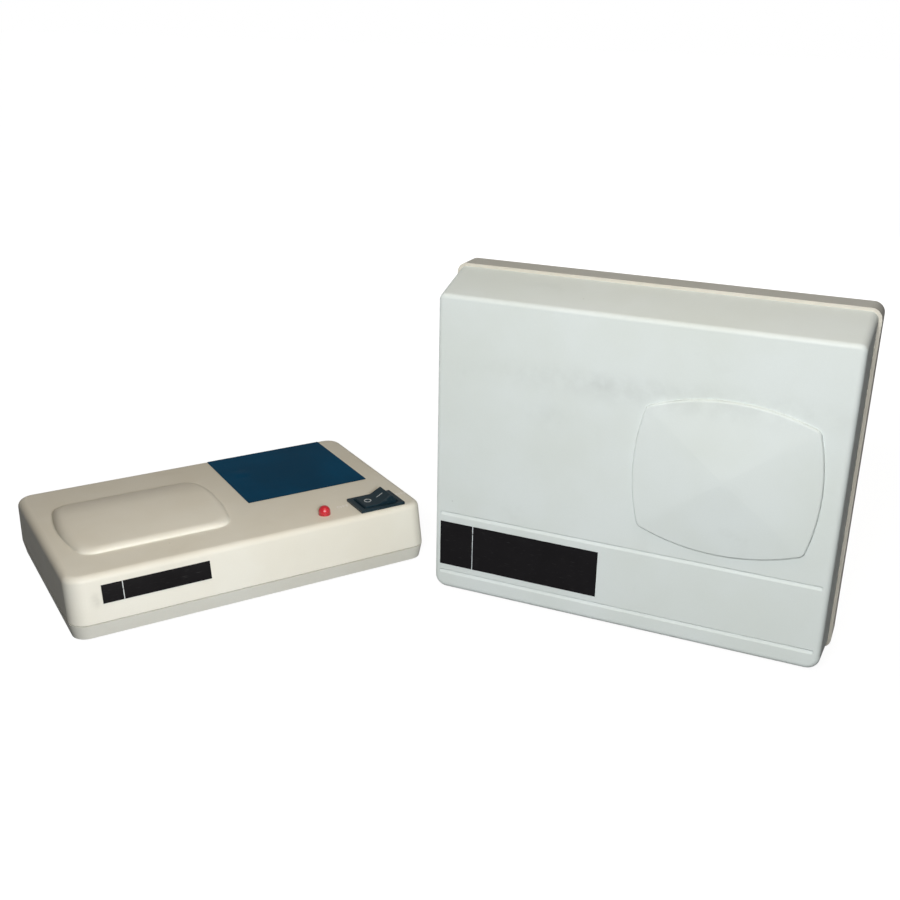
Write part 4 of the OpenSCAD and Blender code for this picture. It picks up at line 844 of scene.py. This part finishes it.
def openings(top, unit):
    """Cuts the holes for the lamp, the switch, the sockets and the mains cord."""
    over, under = unit.height + MM, unit.height - unit.wall - MM
    row = unit.control_y
    carve(top, rod((unit.lamp_x, row, under), (unit.lamp_x, row, over), unit.lamp_hole))
    x0, x1 = unit.switch_x - unit.switch_l / 2, unit.switch_x + unit.switch_l / 2
    y0, y1 = row - unit.switch_w / 2, row + unit.switch_w / 2
    carve(top, prism([(x0, y0), (x1, y0), (x1, y1), (x0, y1)], under, over))
    back, inside = unit.depth / 2 + MM, unit.depth / 2 - unit.wall - MM
    for x, r in (
        (unit.socket_x, unit.socket_hole),
        (unit.socket_x + unit.socket_step, unit.socket_hole),
        (unit.inlet_x, unit.inlet_hole),
    ):
        carve(top, rod((x, back, unit.rear_row), (x, inside, unit.rear_row), r))


class AMPLIFIER_OT_indoor_top(bpy.types.Operator):
    """Builds the indoor unit's top with its crowned cushion"""

    bl_idname = "amplifier.indoor_top"
    bl_label = "Indoor top"

    def execute(self, context):
        unit = context.scene.amplifier_indoor
        top = indoor_shell(unit)
        carve(top, cushion(unit), "UNION")
        carve(top, indoor_hollow(unit))
        bosses(top, unit)
        openings(top, unit)
        smooth(top, 32)
        beige = context.scene.amplifier_finishes.beige
        paint = moulded_plastic("beige_moulding", beige, Sheet.indoor_place, INDOOR_SMUDGES)
        finish_piece(top, "indoor_unit", "beige_plastic", paint, "indoor_top", place=move_in(unit))
        return {"FINISHED"}


class AMPLIFIER_OT_indoor_base(bpy.types.Operator):
    """Dresses the indoor unit's base, feet and screws"""

    bl_idname = "amplifier.indoor_base"
    bl_label = "Indoor base"

    def execute(self, context):
        finishes = context.scene.amplifier_finishes
        paint = moulded_plastic("beige_base_moulding", finishes.beige, Sheet.indoor_place)
        dress(paint, "indoor_base", ease=1.1, limit=40)
        dress(soft_rubber("foot_rubber", finishes.rubber), "indoor_feet", "mains_grommet", ease=0.3)
        dress(metal("case_screw_zinc", finishes.zinc), "indoor_case_screws", ease=0.1)
        return {"FINISHED"}


def blue_film(navy):
    """Blue film, paler towards the back, with dust and one round dent."""
    s = sheet("blue_film", Sheet.indoor_place)
    x, y, _ = s.axes()
    cloud = s.noise(30.0, 3.0)
    fine = s.noise(1900.0)
    tone = s.blend(s.ramp(cloud, 0.3, 0.7), shade(navy, 0.82), shade(navy, 1.2))
    drift = s.ramp(y + x * 0.4, -0.01, 0.06)
    tone = s.blend(drift * 0.4, tone, shade(navy, 1.45))
    tone = s.blend(s.specks(260.0, 0.05, 120.0) * 0.35, tone, (0.35, 0.42, 0.5, 1))
    dent = s.spot((18.4, 23.5, 25.5), (5.5, 5.5, 6.0))
    relief = s.bump(dent, 0.35, 0.7, s.bump(fine, 0.02, 0.3))
    return s.surface(Base_Color=tone, Roughness=0.36 + 0.12 * cloud, Normal=relief, Specular_IOR_Level=0.04)


def black_film(name, finishes, coords, divider):
    """Film with one printed line across it, whose place is in millimetres."""
    half_line = 0.16 * MM
    s = sheet(name, coords)
    ink = abs(s.axes()[0] - divider * MM) < half_line
    wear = s.ramp(s.noise(900.0, 3.0), 0.25, 0.5)
    cloud = s.noise(120.0, 3.0)
    scratch = s.ramp(s.noise(1500.0, stretch=(0.2, 1.0, 2.5)), 0.62, 0.8)
    tone = s.blend(cloud, shade(finishes.black, 0.85), shade(finishes.black, 1.25))
    tone = s.blend(scratch * 0.12, tone, (0.3, 0.3, 0.3, 1))
    tone = s.blend(ink * wear, tone, shade(finishes.mark))
    return s.surface(
        Base_Color=tone, Roughness=0.3 + 0.14 * cloud, Normal=s.bump(scratch, 0.01, 0.5),
        Specular_IOR_Level=0.1)


class AMPLIFIER_OT_labels(bpy.types.Operator):
    """Dresses the stuck-on panels: bare film, two of them with a printed line"""

    bl_idname = "amplifier.labels"
    bl_label = "Panels"

    def execute(self, context):
        finishes = context.scene.amplifier_finishes
        dress(blue_film(finishes.navy), "indoor_panel")
        dress(black_film("front_film", finishes, Sheet.indoor_place, -55.2), "indoor_label")
        dress(black_film("face_film", finishes, Sheet.place, -60.2), "outdoor_label")
        return {"FINISHED"}


# The paddle's crests stand at this radius and angle from its pivot, and its halves fall by this to the valley
PADDLE_R = 8 * MM
PADDLE_CREST = math.radians(50)
PADDLE_FALL = math.radians(13)
# Printed marks: distance from the valley, gap under the paint, and its thickness
MARK_OUT = 3 * MM
MARK_LIFT = 0.02 * MM
MARK_THICK = 0.03 * MM
RING_RADII = (1.6 * MM, 1.2 * MM)
BAR_HALF = (1.6 * MM, 0.14 * MM)
BAR_CORNER = 0.1 * MM
# Printed words: height, how bold they are, thickness of the paint and gap under it
WORD_HIGH = 2.9 * MM
WORD_BOLD = 0.06 * MM
WORD_THICK = 0.01 * MM
WORD_LIFT = 0.03 * MM


def switch_plastic(colour):
    """Dark moulded plastic with a fine grain."""
    s = sheet("switch_moulding")
    cloud = s.noise(140.0, 3.0)
    grain = s.noise(2800.0)
    tone = s.blend(cloud, shade(colour, 0.8), shade(colour, 1.35))
    return s.surface(
        Base_Color=tone, Roughness=0.33 + 0.14 * cloud + 0.08 * (grain - 0.5),
        Normal=s.bump(grain, 0.02, 0.5))


def rocker_marks(unit, paint):
    """Ring on the low half and bar on the high half of the rocker, as printed paint."""
    valley = PADDLE_R * (math.cos(PADDLE_CREST) - math.sin(PADDLE_CREST) * math.tan(PADDLE_FALL))
    pivot = move_in(unit) @ Matrix.Translation((unit.switch_x, unit.control_y, unit.pivot_z))
    middle = pivot @ Matrix.Rotation(-unit.tilt, 4, "Y") @ Matrix.Translation((0, 0, valley))
    deep = MARK_THICK
    outer, inner = (circle(r) for r in RING_RADII)
    ring = prism(outer, 0, deep, "rocker_ring")
    carve(ring, prism(inner, -deep, 2 * deep))
    half_l, half_w = BAR_HALF
    bar = prism(round_box(-half_l, half_l, -half_w, half_w, BAR_CORNER, 4), 0, deep, "rocker_bar")
    for mark, side in ((ring, -1), (bar, 1)):
        half = middle @ Matrix.Rotation(-side * PADDLE_FALL, 4, "Y")
        half = half @ Matrix.Translation((side * MARK_OUT, 0, MARK_LIFT))
        finish_piece(mark, "rocker", "white_plastic", paint, place=half)


def lettering(unit):
    """Faint worn words beside the switch."""
    s = sheet("worn_print")
    worn = s.ramp(s.noise(2600.0), 0.3, 0.7)
    tone = s.blend(worn, (0.86, 0.86, 0.84, 1), (0.98, 0.98, 0.97, 1))
    paint = s.surface(Base_Color=tone, Roughness=0.5 + 0.1 * worn)
    for name, word, x, y in (("word_off", "OFF", -14.2, 3.2), ("word_on", "ON", 13.9, 3.6)):
        text = bpy.data.curves.new(name, "FONT")
        put(text, body=word, size=WORD_HIGH, offset=WORD_BOLD, space_character=1.15, extrude=WORD_THICK,
            align_x="CENTER", align_y="CENTER")
        drawn = add_object(name + "_curve", text)
        letters = add_object(name, mesh_of(drawn))
        bpy.data.objects.remove(drawn)
        place = move_in(unit) @ Matrix.Translation(
            (unit.switch_x + x * MM, unit.control_y + y * MM, unit.height + WORD_LIFT))
        finish_piece(letters, "indoor_unit", "white_plastic", paint, place=place)


class AMPLIFIER_OT_switch(bpy.types.Operator):
    """Dresses the rocker switch and adds its printed marks and lettering"""

    bl_idname = "amplifier.switch"
    bl_label = "Rocker switch"

    def execute(self, context):
        scene = context.scene
        unit, finishes = scene.amplifier_indoor, scene.amplifier_finishes
        dress(switch_plastic(finishes.switch), "switch_housing", "switch_paddle", ease=0.35, limit=30)
        dress(metal("tab_brass", finishes.brass), "switch_tabs", ease=0.12)
        rocker_marks(unit, dipped("printed_white", finishes.mark, 0.5, 2400.0))
        lettering(unit)
        return {"FINISHED"}


def lamp_lens(colour):
    """Hazy red plastic, darker at its foot."""
    foot, clear = 24.8 * MM, 27.5 * MM
    s = sheet("lamp_lens_red")
    haze = s.noise(700.0, 3.0)
    low = 1 - s.ramp(s.axes()[2], foot, clear)
    tone = s.blend(haze, shade(colour, 1.1), shade(colour, 0.8))
    tone = s.blend(low * 0.3, tone, shade(colour, 0.5))
    return s.surface(
        Base_Color=tone, Roughness=0.3 + 0.1 * haze, Subsurface_Weight=0.25,
        Subsurface_Radius=(0.004, 0.0006, 0.0004), Coat_Weight=1.0, Coat_Roughness=0.34)


class AMPLIFIER_OT_lamp(bpy.types.Operator):
    """Dresses the lamp"""

    bl_idname = "amplifier.lamp"
    bl_label = "Lamp"

    def execute(self, context):
        finishes = context.scene.amplifier_finishes
        dress(lamp_lens(finishes.lamp), "lamp_lens", ease=0.2, limit=50)
        dress(metal("leg_tin", finishes.nickel, 0.4), "lamp_legs", ease=0.08)
        return {"FINISHED"}


def iron_stack():
    """Varnished stack of iron sheets."""
    s = sheet("iron_stack", Sheet.indoor_place)
    sheets = (s.axes()[1] * 12000.0).wave()
    rust = s.ramp(s.noise(260.0, 4.0, 0.65), 0.52, 0.78)
    tone = s.blend(sheets * 0.5, (0.1, 0.105, 0.115, 1), (0.045, 0.045, 0.05, 1))
    tone = s.blend(rust * 0.6, tone, (0.16, 0.075, 0.035, 1))
    return s.surface(
        Base_Color=tone, Metallic=0.75 - 0.6 * rust, Roughness=0.42 + 0.3 * rust,
        Normal=s.bump(sheets, 0.06, 0.8))


def winding_tape():
    """Yellow wrapping tape with overlapping turns."""
    s = sheet("winding_tape")
    turns = (s.axes()[2] * 2600.0 + s.noise(120.0) * 3.0).wave()
    cloud = s.noise(260.0, 3.0)
    tone = s.blend(cloud, (0.66, 0.47, 0.08, 1), (0.5, 0.33, 0.05, 1))
    tone = s.blend(turns * 0.25, tone, (0.34, 0.22, 0.04, 1))
    return s.surface(Base_Color=tone, Roughness=0.32 + 0.15 * cloud, Normal=s.bump(turns, 0.05, 0.7))


class AMPLIFIER_OT_indoor_insides(bpy.types.Operator):
    """Dresses the transformer, the supply board and what is on it"""

    bl_idname = "amplifier.indoor_insides"
    bl_label = "Indoor insides"

    def execute(self, context):
        finishes = context.scene.amplifier_finishes
        dress(iron_stack(), "transformer_core", ease=0.2)
        dress(dipped("bobbin_nylon", (0.78, 0.76, 0.68), 0.45), "transformer_bobbin", ease=0.15)
        dress(winding_tape(), "transformer_winding", ease=0.4)
        zinc = metal("bracket_zinc", finishes.zinc, 0.36)
        dress(zinc, "transformer_clip", "transformer_screws", "supply_board_screws", ease=0.15)
        paper = circuit_board(
            "paper_board", (0.24, 0.13, 0.045), (0.42, 0.24, 0.1), Sheet.indoor_place, (0, 1))
        dress(paper, "supply_board", ease=0.15)
        dress(dipped("capacitor_sleeve", (0.012, 0.014, 0.03), 0.3), "smoothing_capacitor", ease=0.5)
        dress(dipped("diode_epoxy", (0.02, 0.02, 0.022), 0.4), "rectifier_diodes", ease=0.2)
        dress(dipped("choke_ferrite", (0.05, 0.048, 0.05), 0.6), "choke_ring", ease=0.5)
        dress(dipped("ceramic_brown", (0.36, 0.14, 0.04), 0.32), "supply_discs", ease=0.4)
        dress(metal("lead_tin", finishes.nickel, 0.4), "supply_leads")
        return {"FINISHED"}


def threaded(colour):
    """Nickel with the thread's lines as relief."""
    pitch = 0.8 * MM
    s = sheet("socket_nickel", Sheet.indoor_place)
    thread = (s.axes()[1] * (2 * math.pi / pitch)).wave()
    tarnish = s.ramp(s.noise(300.0, 3.0), 0.4, 0.75)
    tone = s.blend(tarnish * 0.5, shade(colour), shade(colour, 0.66))
    return s.surface(
        Base_Color=tone, Metallic=1.0, Roughness=0.24 + 0.2 * tarnish, Normal=s.bump(thread, 0.12, 0.9))


class AMPLIFIER_OT_sockets(bpy.types.Operator):
    """Dresses the coax sockets on the indoor unit's back"""

    bl_idname = "amplifier.sockets"
    bl_label = "Coax sockets"

    def execute(self, context):
        nickel = context.scene.amplifier_finishes.nickel
        dress(threaded(nickel), "coax_sockets", ease=0.2)
        dress(metal("nut_nickel", nickel, 0.28), "coax_socket_nuts", ease=0.3)
        dress(dipped("socket_core_nylon", (0.8, 0.79, 0.74), 0.4), "coax_socket_cores", ease=0.2)
        return {"FINISHED"}


# Outdoor unit


# Darker patches on the cover's face, partly painted shade: middle and reach in millimetres, and depth
COVER_PATCHES_AND_PAINTED_SHADE = (
    # Painted shade: a broad band across the face, darker below its lighter upper zone
    ((15.0, -35.0, 98.0), (110.0, 12.0, 9.5), 0.2),
    # Two faint darker patches
    ((-31.0, -35.0, 84.0), (16.0, 12.0, 10.0), 0.12),
    ((-12.0, -35.0, 99.0), (9.0, 12.0, 6.0), 0.16),
    # Painted shade of a small sink mark near the face's right side
    ((71.5, -35.0, 73.0), (2.2, 10.0, 3.2), 0.12),
)
# The badge's foot: how far it is drawn in and its height above the face, in millimetres
BADGE_FOOT = ((-0.35, -0.6), (-0.2, 0.01), (-0.06, 0.06), (0.0, 0.2))
BADGE_STEP_IN = 0.02 * MM
# Section of a groove, as depth and height in shares of its half width, from its upper to its lower side
GROOVE_SECTION = (
    (-0.3, 1.0), (0.0, 1.0), (0.1, 0.94), (0.36, 0.7), (0.48, 0.56), (0.52, 0.42), (0.49, 0.28),
    (0.27, -0.34), (0.07, -0.84), (0.0, -1.0), (-0.3, -1.0))
# How a groove runs out: distance from its end in shares of its half width, and share of its full depth
GROOVE_ENDS = ((0.0, 0.1), (0.12, 0.5), (0.35, 0.8), (0.7, 0.95), (1.2, 1.0))
GROOVE_NARROW = 0.6


def cover_shell(box):
    """Closed form of the cover, with its sides drawn in and its roof sloping."""
    bend = box.front_y + box.edge
    depth = box.part_y - bend
    roof_high = box.height - box.lip
    slope = lean_angle(box.roof_drop + box.edge, depth, box.edge)
    touch = bend - box.edge * math.sin(slope)
    half = box.width / 2 - box.lip
    mouth_r = box.rim_corner - box.lip
    rings = []
    for y in edge_run(box.part_y, bend, box.front_y, 0.02):
        share = min(1.0, (box.part_y - y) / depth)
        inset = edge_inset(bend - y, box.edge)
        side = box.draft * share + inset
        drop = (box.part_y - y) * math.tan(slope) if y >= touch else box.roof_drop + inset
        r = mouth_r + (box.corner - mouth_r) * share - inset
        outline = round_box(
            side - half, half - side, box.lip + side, roof_high - drop, r, high=box.roof_corner - inset)
        rings.append([(x, y, z) for x, z in outline])
    return loft("outdoor_case_cover", rings)


def badge(box):
    """Badge with a rounded edge and a low straight rise to its peak."""
    round_r, spans = box.badge_round, 10
    rows = [(inset * MM, up * MM) for inset, up in BADGE_FOOT]
    for turn in range(0, 91, 15):
        a = math.radians(turn)
        inset = BADGE_STEP_IN + round_r * (1 - math.cos(a))
        rows.append((inset, box.badge_edge - round_r * (1 - math.sin(a))))
    rings = []
    for inset, up in rows:
        outline = bowed_box(box.badge_w, box.badge_h, box.badge_bow_x, box.badge_bow_z,
                            box.badge_corner, inset, 16)
        rings.append([badge_point(box, x, z, up) for x, z in outline])
    for step in range(1, spans):
        share = 1 - step / spans
        up = box.badge_edge + box.badge_peak * (1 - share)
        rings.append([badge_point(box, x * share, z * share, up) for x, z in outline])
    return loft("badge", rings, badge_point(box, 0, 0, box.badge_edge + box.badge_peak))


def badge_point(box, x, z, up):
    """Point of the badge, from its middle and the face."""
    return box.badge_x + x, box.front_y - up, box.badge_z + z


def cover_hollow(box):
    """Inside of the cover, open towards the rim."""
    w = box.wall
    rings = []
    for y, draft, drop, r in (
        (box.part_y + MM, 0.0, 0.0, box.rim_corner - box.lip - w),
        (box.front_y + w, box.draft, box.roof_drop, box.corner - w),
    ):
        half = box.width / 2 - box.lip - draft - w
        roof = box.height - box.lip - drop - w
        outline = round_box(-half, half, box.lip + draft + w, roof, r, 8, box.roof_corner - w)
        rings.append([(x, y, z) for x, z in outline])
    return loft("tool", rings)


def groove(box, height):
    """Bar that cuts a groove with a steep upper side, a round bottom and a long lower slope."""
    r = box.groove_w / 2
    half = box.width / 2 - box.lip - box.draft - box.groove_end
    rings = []
    for side, ends in ((-1, GROOVE_ENDS), (1, reversed(GROOVE_ENDS))):
        for run, share in ends:
            x = side * (half - run * r)
            tall = r * (GROOVE_NARROW + (1 - GROOVE_NARROW) * share)
            rings.append([
                (x, box.front_y + y * r * (share if y > 0 else 1), height + z * tall)
                for y, z in GROOVE_SECTION])
    return loft("tool", rings)


def tongues(box):
    """Four strips inside the cover's mouth that reach into the rim."""
    inner = box.lip + box.wall
    low = inner - box.rim_wall - box.tongue_gap
    high = box.wall / 4
    back, mouth = box.part_y - box.tongue_root, box.part_y
    tip, under = mouth + box.tongue_l, low - box.tongue_t
    section = [(back, high), (back, under), (tip, under), (tip, low), (mouth, low), (mouth, high)]
    half_w, half_h = box.width / 2, box.height / 2
    for quarter, (across, reach) in enumerate(((half_w, half_h), (half_h, half_w)) * 2):
        turn = Matrix.Translation((0, 0, half_h)) @ Matrix.Rotation(quarter * math.pi / 2, 4, "Y")
        turn = turn @ Matrix.Translation((0, 0, reach - inner))
        half = across - box.tongue_end
        yield loft("tool", [[turn @ Vector((x, y, z)) for y, z in section] for x in (-half, half)])


class AMPLIFIER_OT_outdoor_cover(bpy.types.Operator):
    """Builds the outdoor unit's cover with its badge and grooves"""

    bl_idname = "amplifier.outdoor_cover"
    bl_label = "Outdoor cover"

    def execute(self, context):
        box = context.scene.amplifier_outdoor
        cover = cover_shell(box)
        carve(cover, badge(box), "UNION")
        carve(cover, cover_hollow(box))
        for height in (box.groove_low, box.groove_high):
            carve(cover, groove(box, height))
        for tongue in tongues(box):
            carve(cover, tongue, "UNION")
        smooth(cover, 34)
        # The cover's list of darker patches includes painted shade
        paint = moulded_plastic(
            "white_moulding", context.scene.amplifier_finishes.white, patches_and_painted_shade=COVER_PATCHES_AND_PAINTED_SHADE,
            warm=(1.0, 1.0, 0.975), rough=0.42, gloss=0.28)
        finish_piece(cover, "cover", "white_plastic", paint, "outdoor_cover")
        return {"FINISHED"}


class AMPLIFIER_OT_outdoor_case(bpy.types.Operator):
    """Dresses the outdoor unit's case and cable entries"""

    bl_idname = "amplifier.outdoor_case"
    bl_label = "Outdoor case"

    def execute(self, context):
        finishes = context.scene.amplifier_finishes
        paint = moulded_plastic("white_case_moulding", finishes.case, warm=(1.0, 0.99, 0.955))
        dress(paint, "outdoor_case", ease=0.8, limit=40)
        dress(soft_rubber("entry_rubber", finishes.rubber), "cable_grommets", ease=0.3)
        return {"FINISHED"}


# Painted rings of the resistors: place along a resistor's pitch and half width in millimetres, and colour
BANDS = (
    (6.3, 0.3, (92, 50, 24)), (7.6, 0.3, (20, 18, 18)),
    (8.9, 0.3, (180, 32, 24)), (11.0, 0.3, (190, 150, 60)))
BAND_PITCH = 17
BAND_START = -54


class AMPLIFIER_OT_outdoor_insides(bpy.types.Operator):
    """Dresses the amplifier board and what is on it"""

    bl_idname = "amplifier.outdoor_insides"
    bl_label = "Outdoor insides"

    def execute(self, context):
        finishes = context.scene.amplifier_finishes
        glass = circuit_board("glass_board", (0.045, 0.16, 0.06), (0.16, 0.3, 0.1))
        dress(glass, "amplifier_board", ease=0.15)
        zinc = metal("board_screw_zinc", finishes.zinc)
        dress(zinc, "amplifier_board_screws", "cable_clip_screws", ease=0.1)
        dress(dipped("core_ferrite", (0.045, 0.044, 0.046), 0.62), "matching_core", ease=0.4)
        dress(dipped("transistor_epoxy", (0.018, 0.018, 0.02), 0.42), "transistors", ease=0.2)
        dress(metal("coil_copper", finishes.copper, 0.26, dull=0.6), "air_coils")
        dress(dipped("sleeve_blue", (0.015, 0.04, 0.16), 0.28), "amplifier_capacitors", ease=0.4)
        dress(dipped("ceramic_orange", (0.5, 0.2, 0.05), 0.32), "amplifier_discs", ease=0.4)
        barrels = banded("resistor_paint", (0.55, 0.42, 0.2), BANDS, BAND_PITCH, BAND_START)
        dress(barrels, "amplifier_resistors", ease=0.3)
        dress(metal("board_lead_tin", finishes.nickel, 0.4), "amplifier_leads")
        dress(metal("clip_tin", finishes.nickel, 0.36), "cable_clips", ease=0.2)
        dress(metal("signal_brass", finishes.brass, 0.3), "signal_screws", ease=0.15)
        return {"FINISHED"}


class AMPLIFIER_OT_mast_clamp(bpy.types.Operator):
    """Dresses the mast strap with its screws"""

    bl_idname = "amplifier.mast_clamp"
    bl_label = "Mast clamp"

    def execute(self, context):
        finishes = context.scene.amplifier_finishes
        dress(metal("strap_zinc", finishes.zinc, 0.34, 900.0), "clamp_strap", ease=0.3)
        dress(metal("washer_zinc", finishes.zinc, 0.3), "clamp_washers", ease=0.2)
        dress(metal("screw_zinc", finishes.zinc, 0.28), "clamp_screw_left", "clamp_screw_right", ease=0.3)
        dress(metal("insert_brass", finishes.brass, 0.3), "clamp_inserts", ease=0.2)
        return {"FINISHED"}


# Steps, panel and registration


OPERATORS = (
    AMPLIFIER_OT_indoor_top, AMPLIFIER_OT_indoor_base, AMPLIFIER_OT_labels, AMPLIFIER_OT_switch,
    AMPLIFIER_OT_lamp, AMPLIFIER_OT_indoor_insides, AMPLIFIER_OT_sockets, AMPLIFIER_OT_outdoor_cover,
    AMPLIFIER_OT_outdoor_case, AMPLIFIER_OT_outdoor_insides, AMPLIFIER_OT_mast_clamp, AMPLIFIER_OT_stage,
)


class AMPLIFIER_PT_panel(bpy.types.Panel):
    """Lists the steps that dress the amplifier"""

    bl_idname = "AMPLIFIER_PT_panel"
    bl_label = "Amplifier"
    bl_space_type = "VIEW_3D"
    bl_region_type = "UI"
    bl_category = "Amplifier"

    def draw(self, context):
        for step in OPERATORS:
            self.layout.operator(step.bl_idname)


GROUPS = {
    "amplifier_indoor": IndoorSizes,
    "amplifier_outdoor": OutdoorSizes,
    "amplifier_finishes": Finishes,
    "amplifier_stage": StageSettings,
}


def register():
    """Makes the settings, the steps and the panel known to Blender."""
    for made in (*GROUPS.values(), *OPERATORS, AMPLIFIER_PT_panel):
        bpy.utils.register_class(made)
    for name, group in GROUPS.items():
        setattr(bpy.types.Scene, name, bpy.props.PointerProperty(type=group))


def unregister():
    """Takes them away again."""
    for name in GROUPS:
        delattr(bpy.types.Scene, name)
    for made in reversed((*GROUPS.values(), *OPERATORS, AMPLIFIER_PT_panel)):
        bpy.utils.unregister_class(made)


def main():
    """Runs every step in order."""
    register()
    for step in OPERATORS:
        group, name = step.bl_idname.split(".")
        getattr(getattr(bpy.ops, group), name)()


if __name__ == "__main__":
    main()
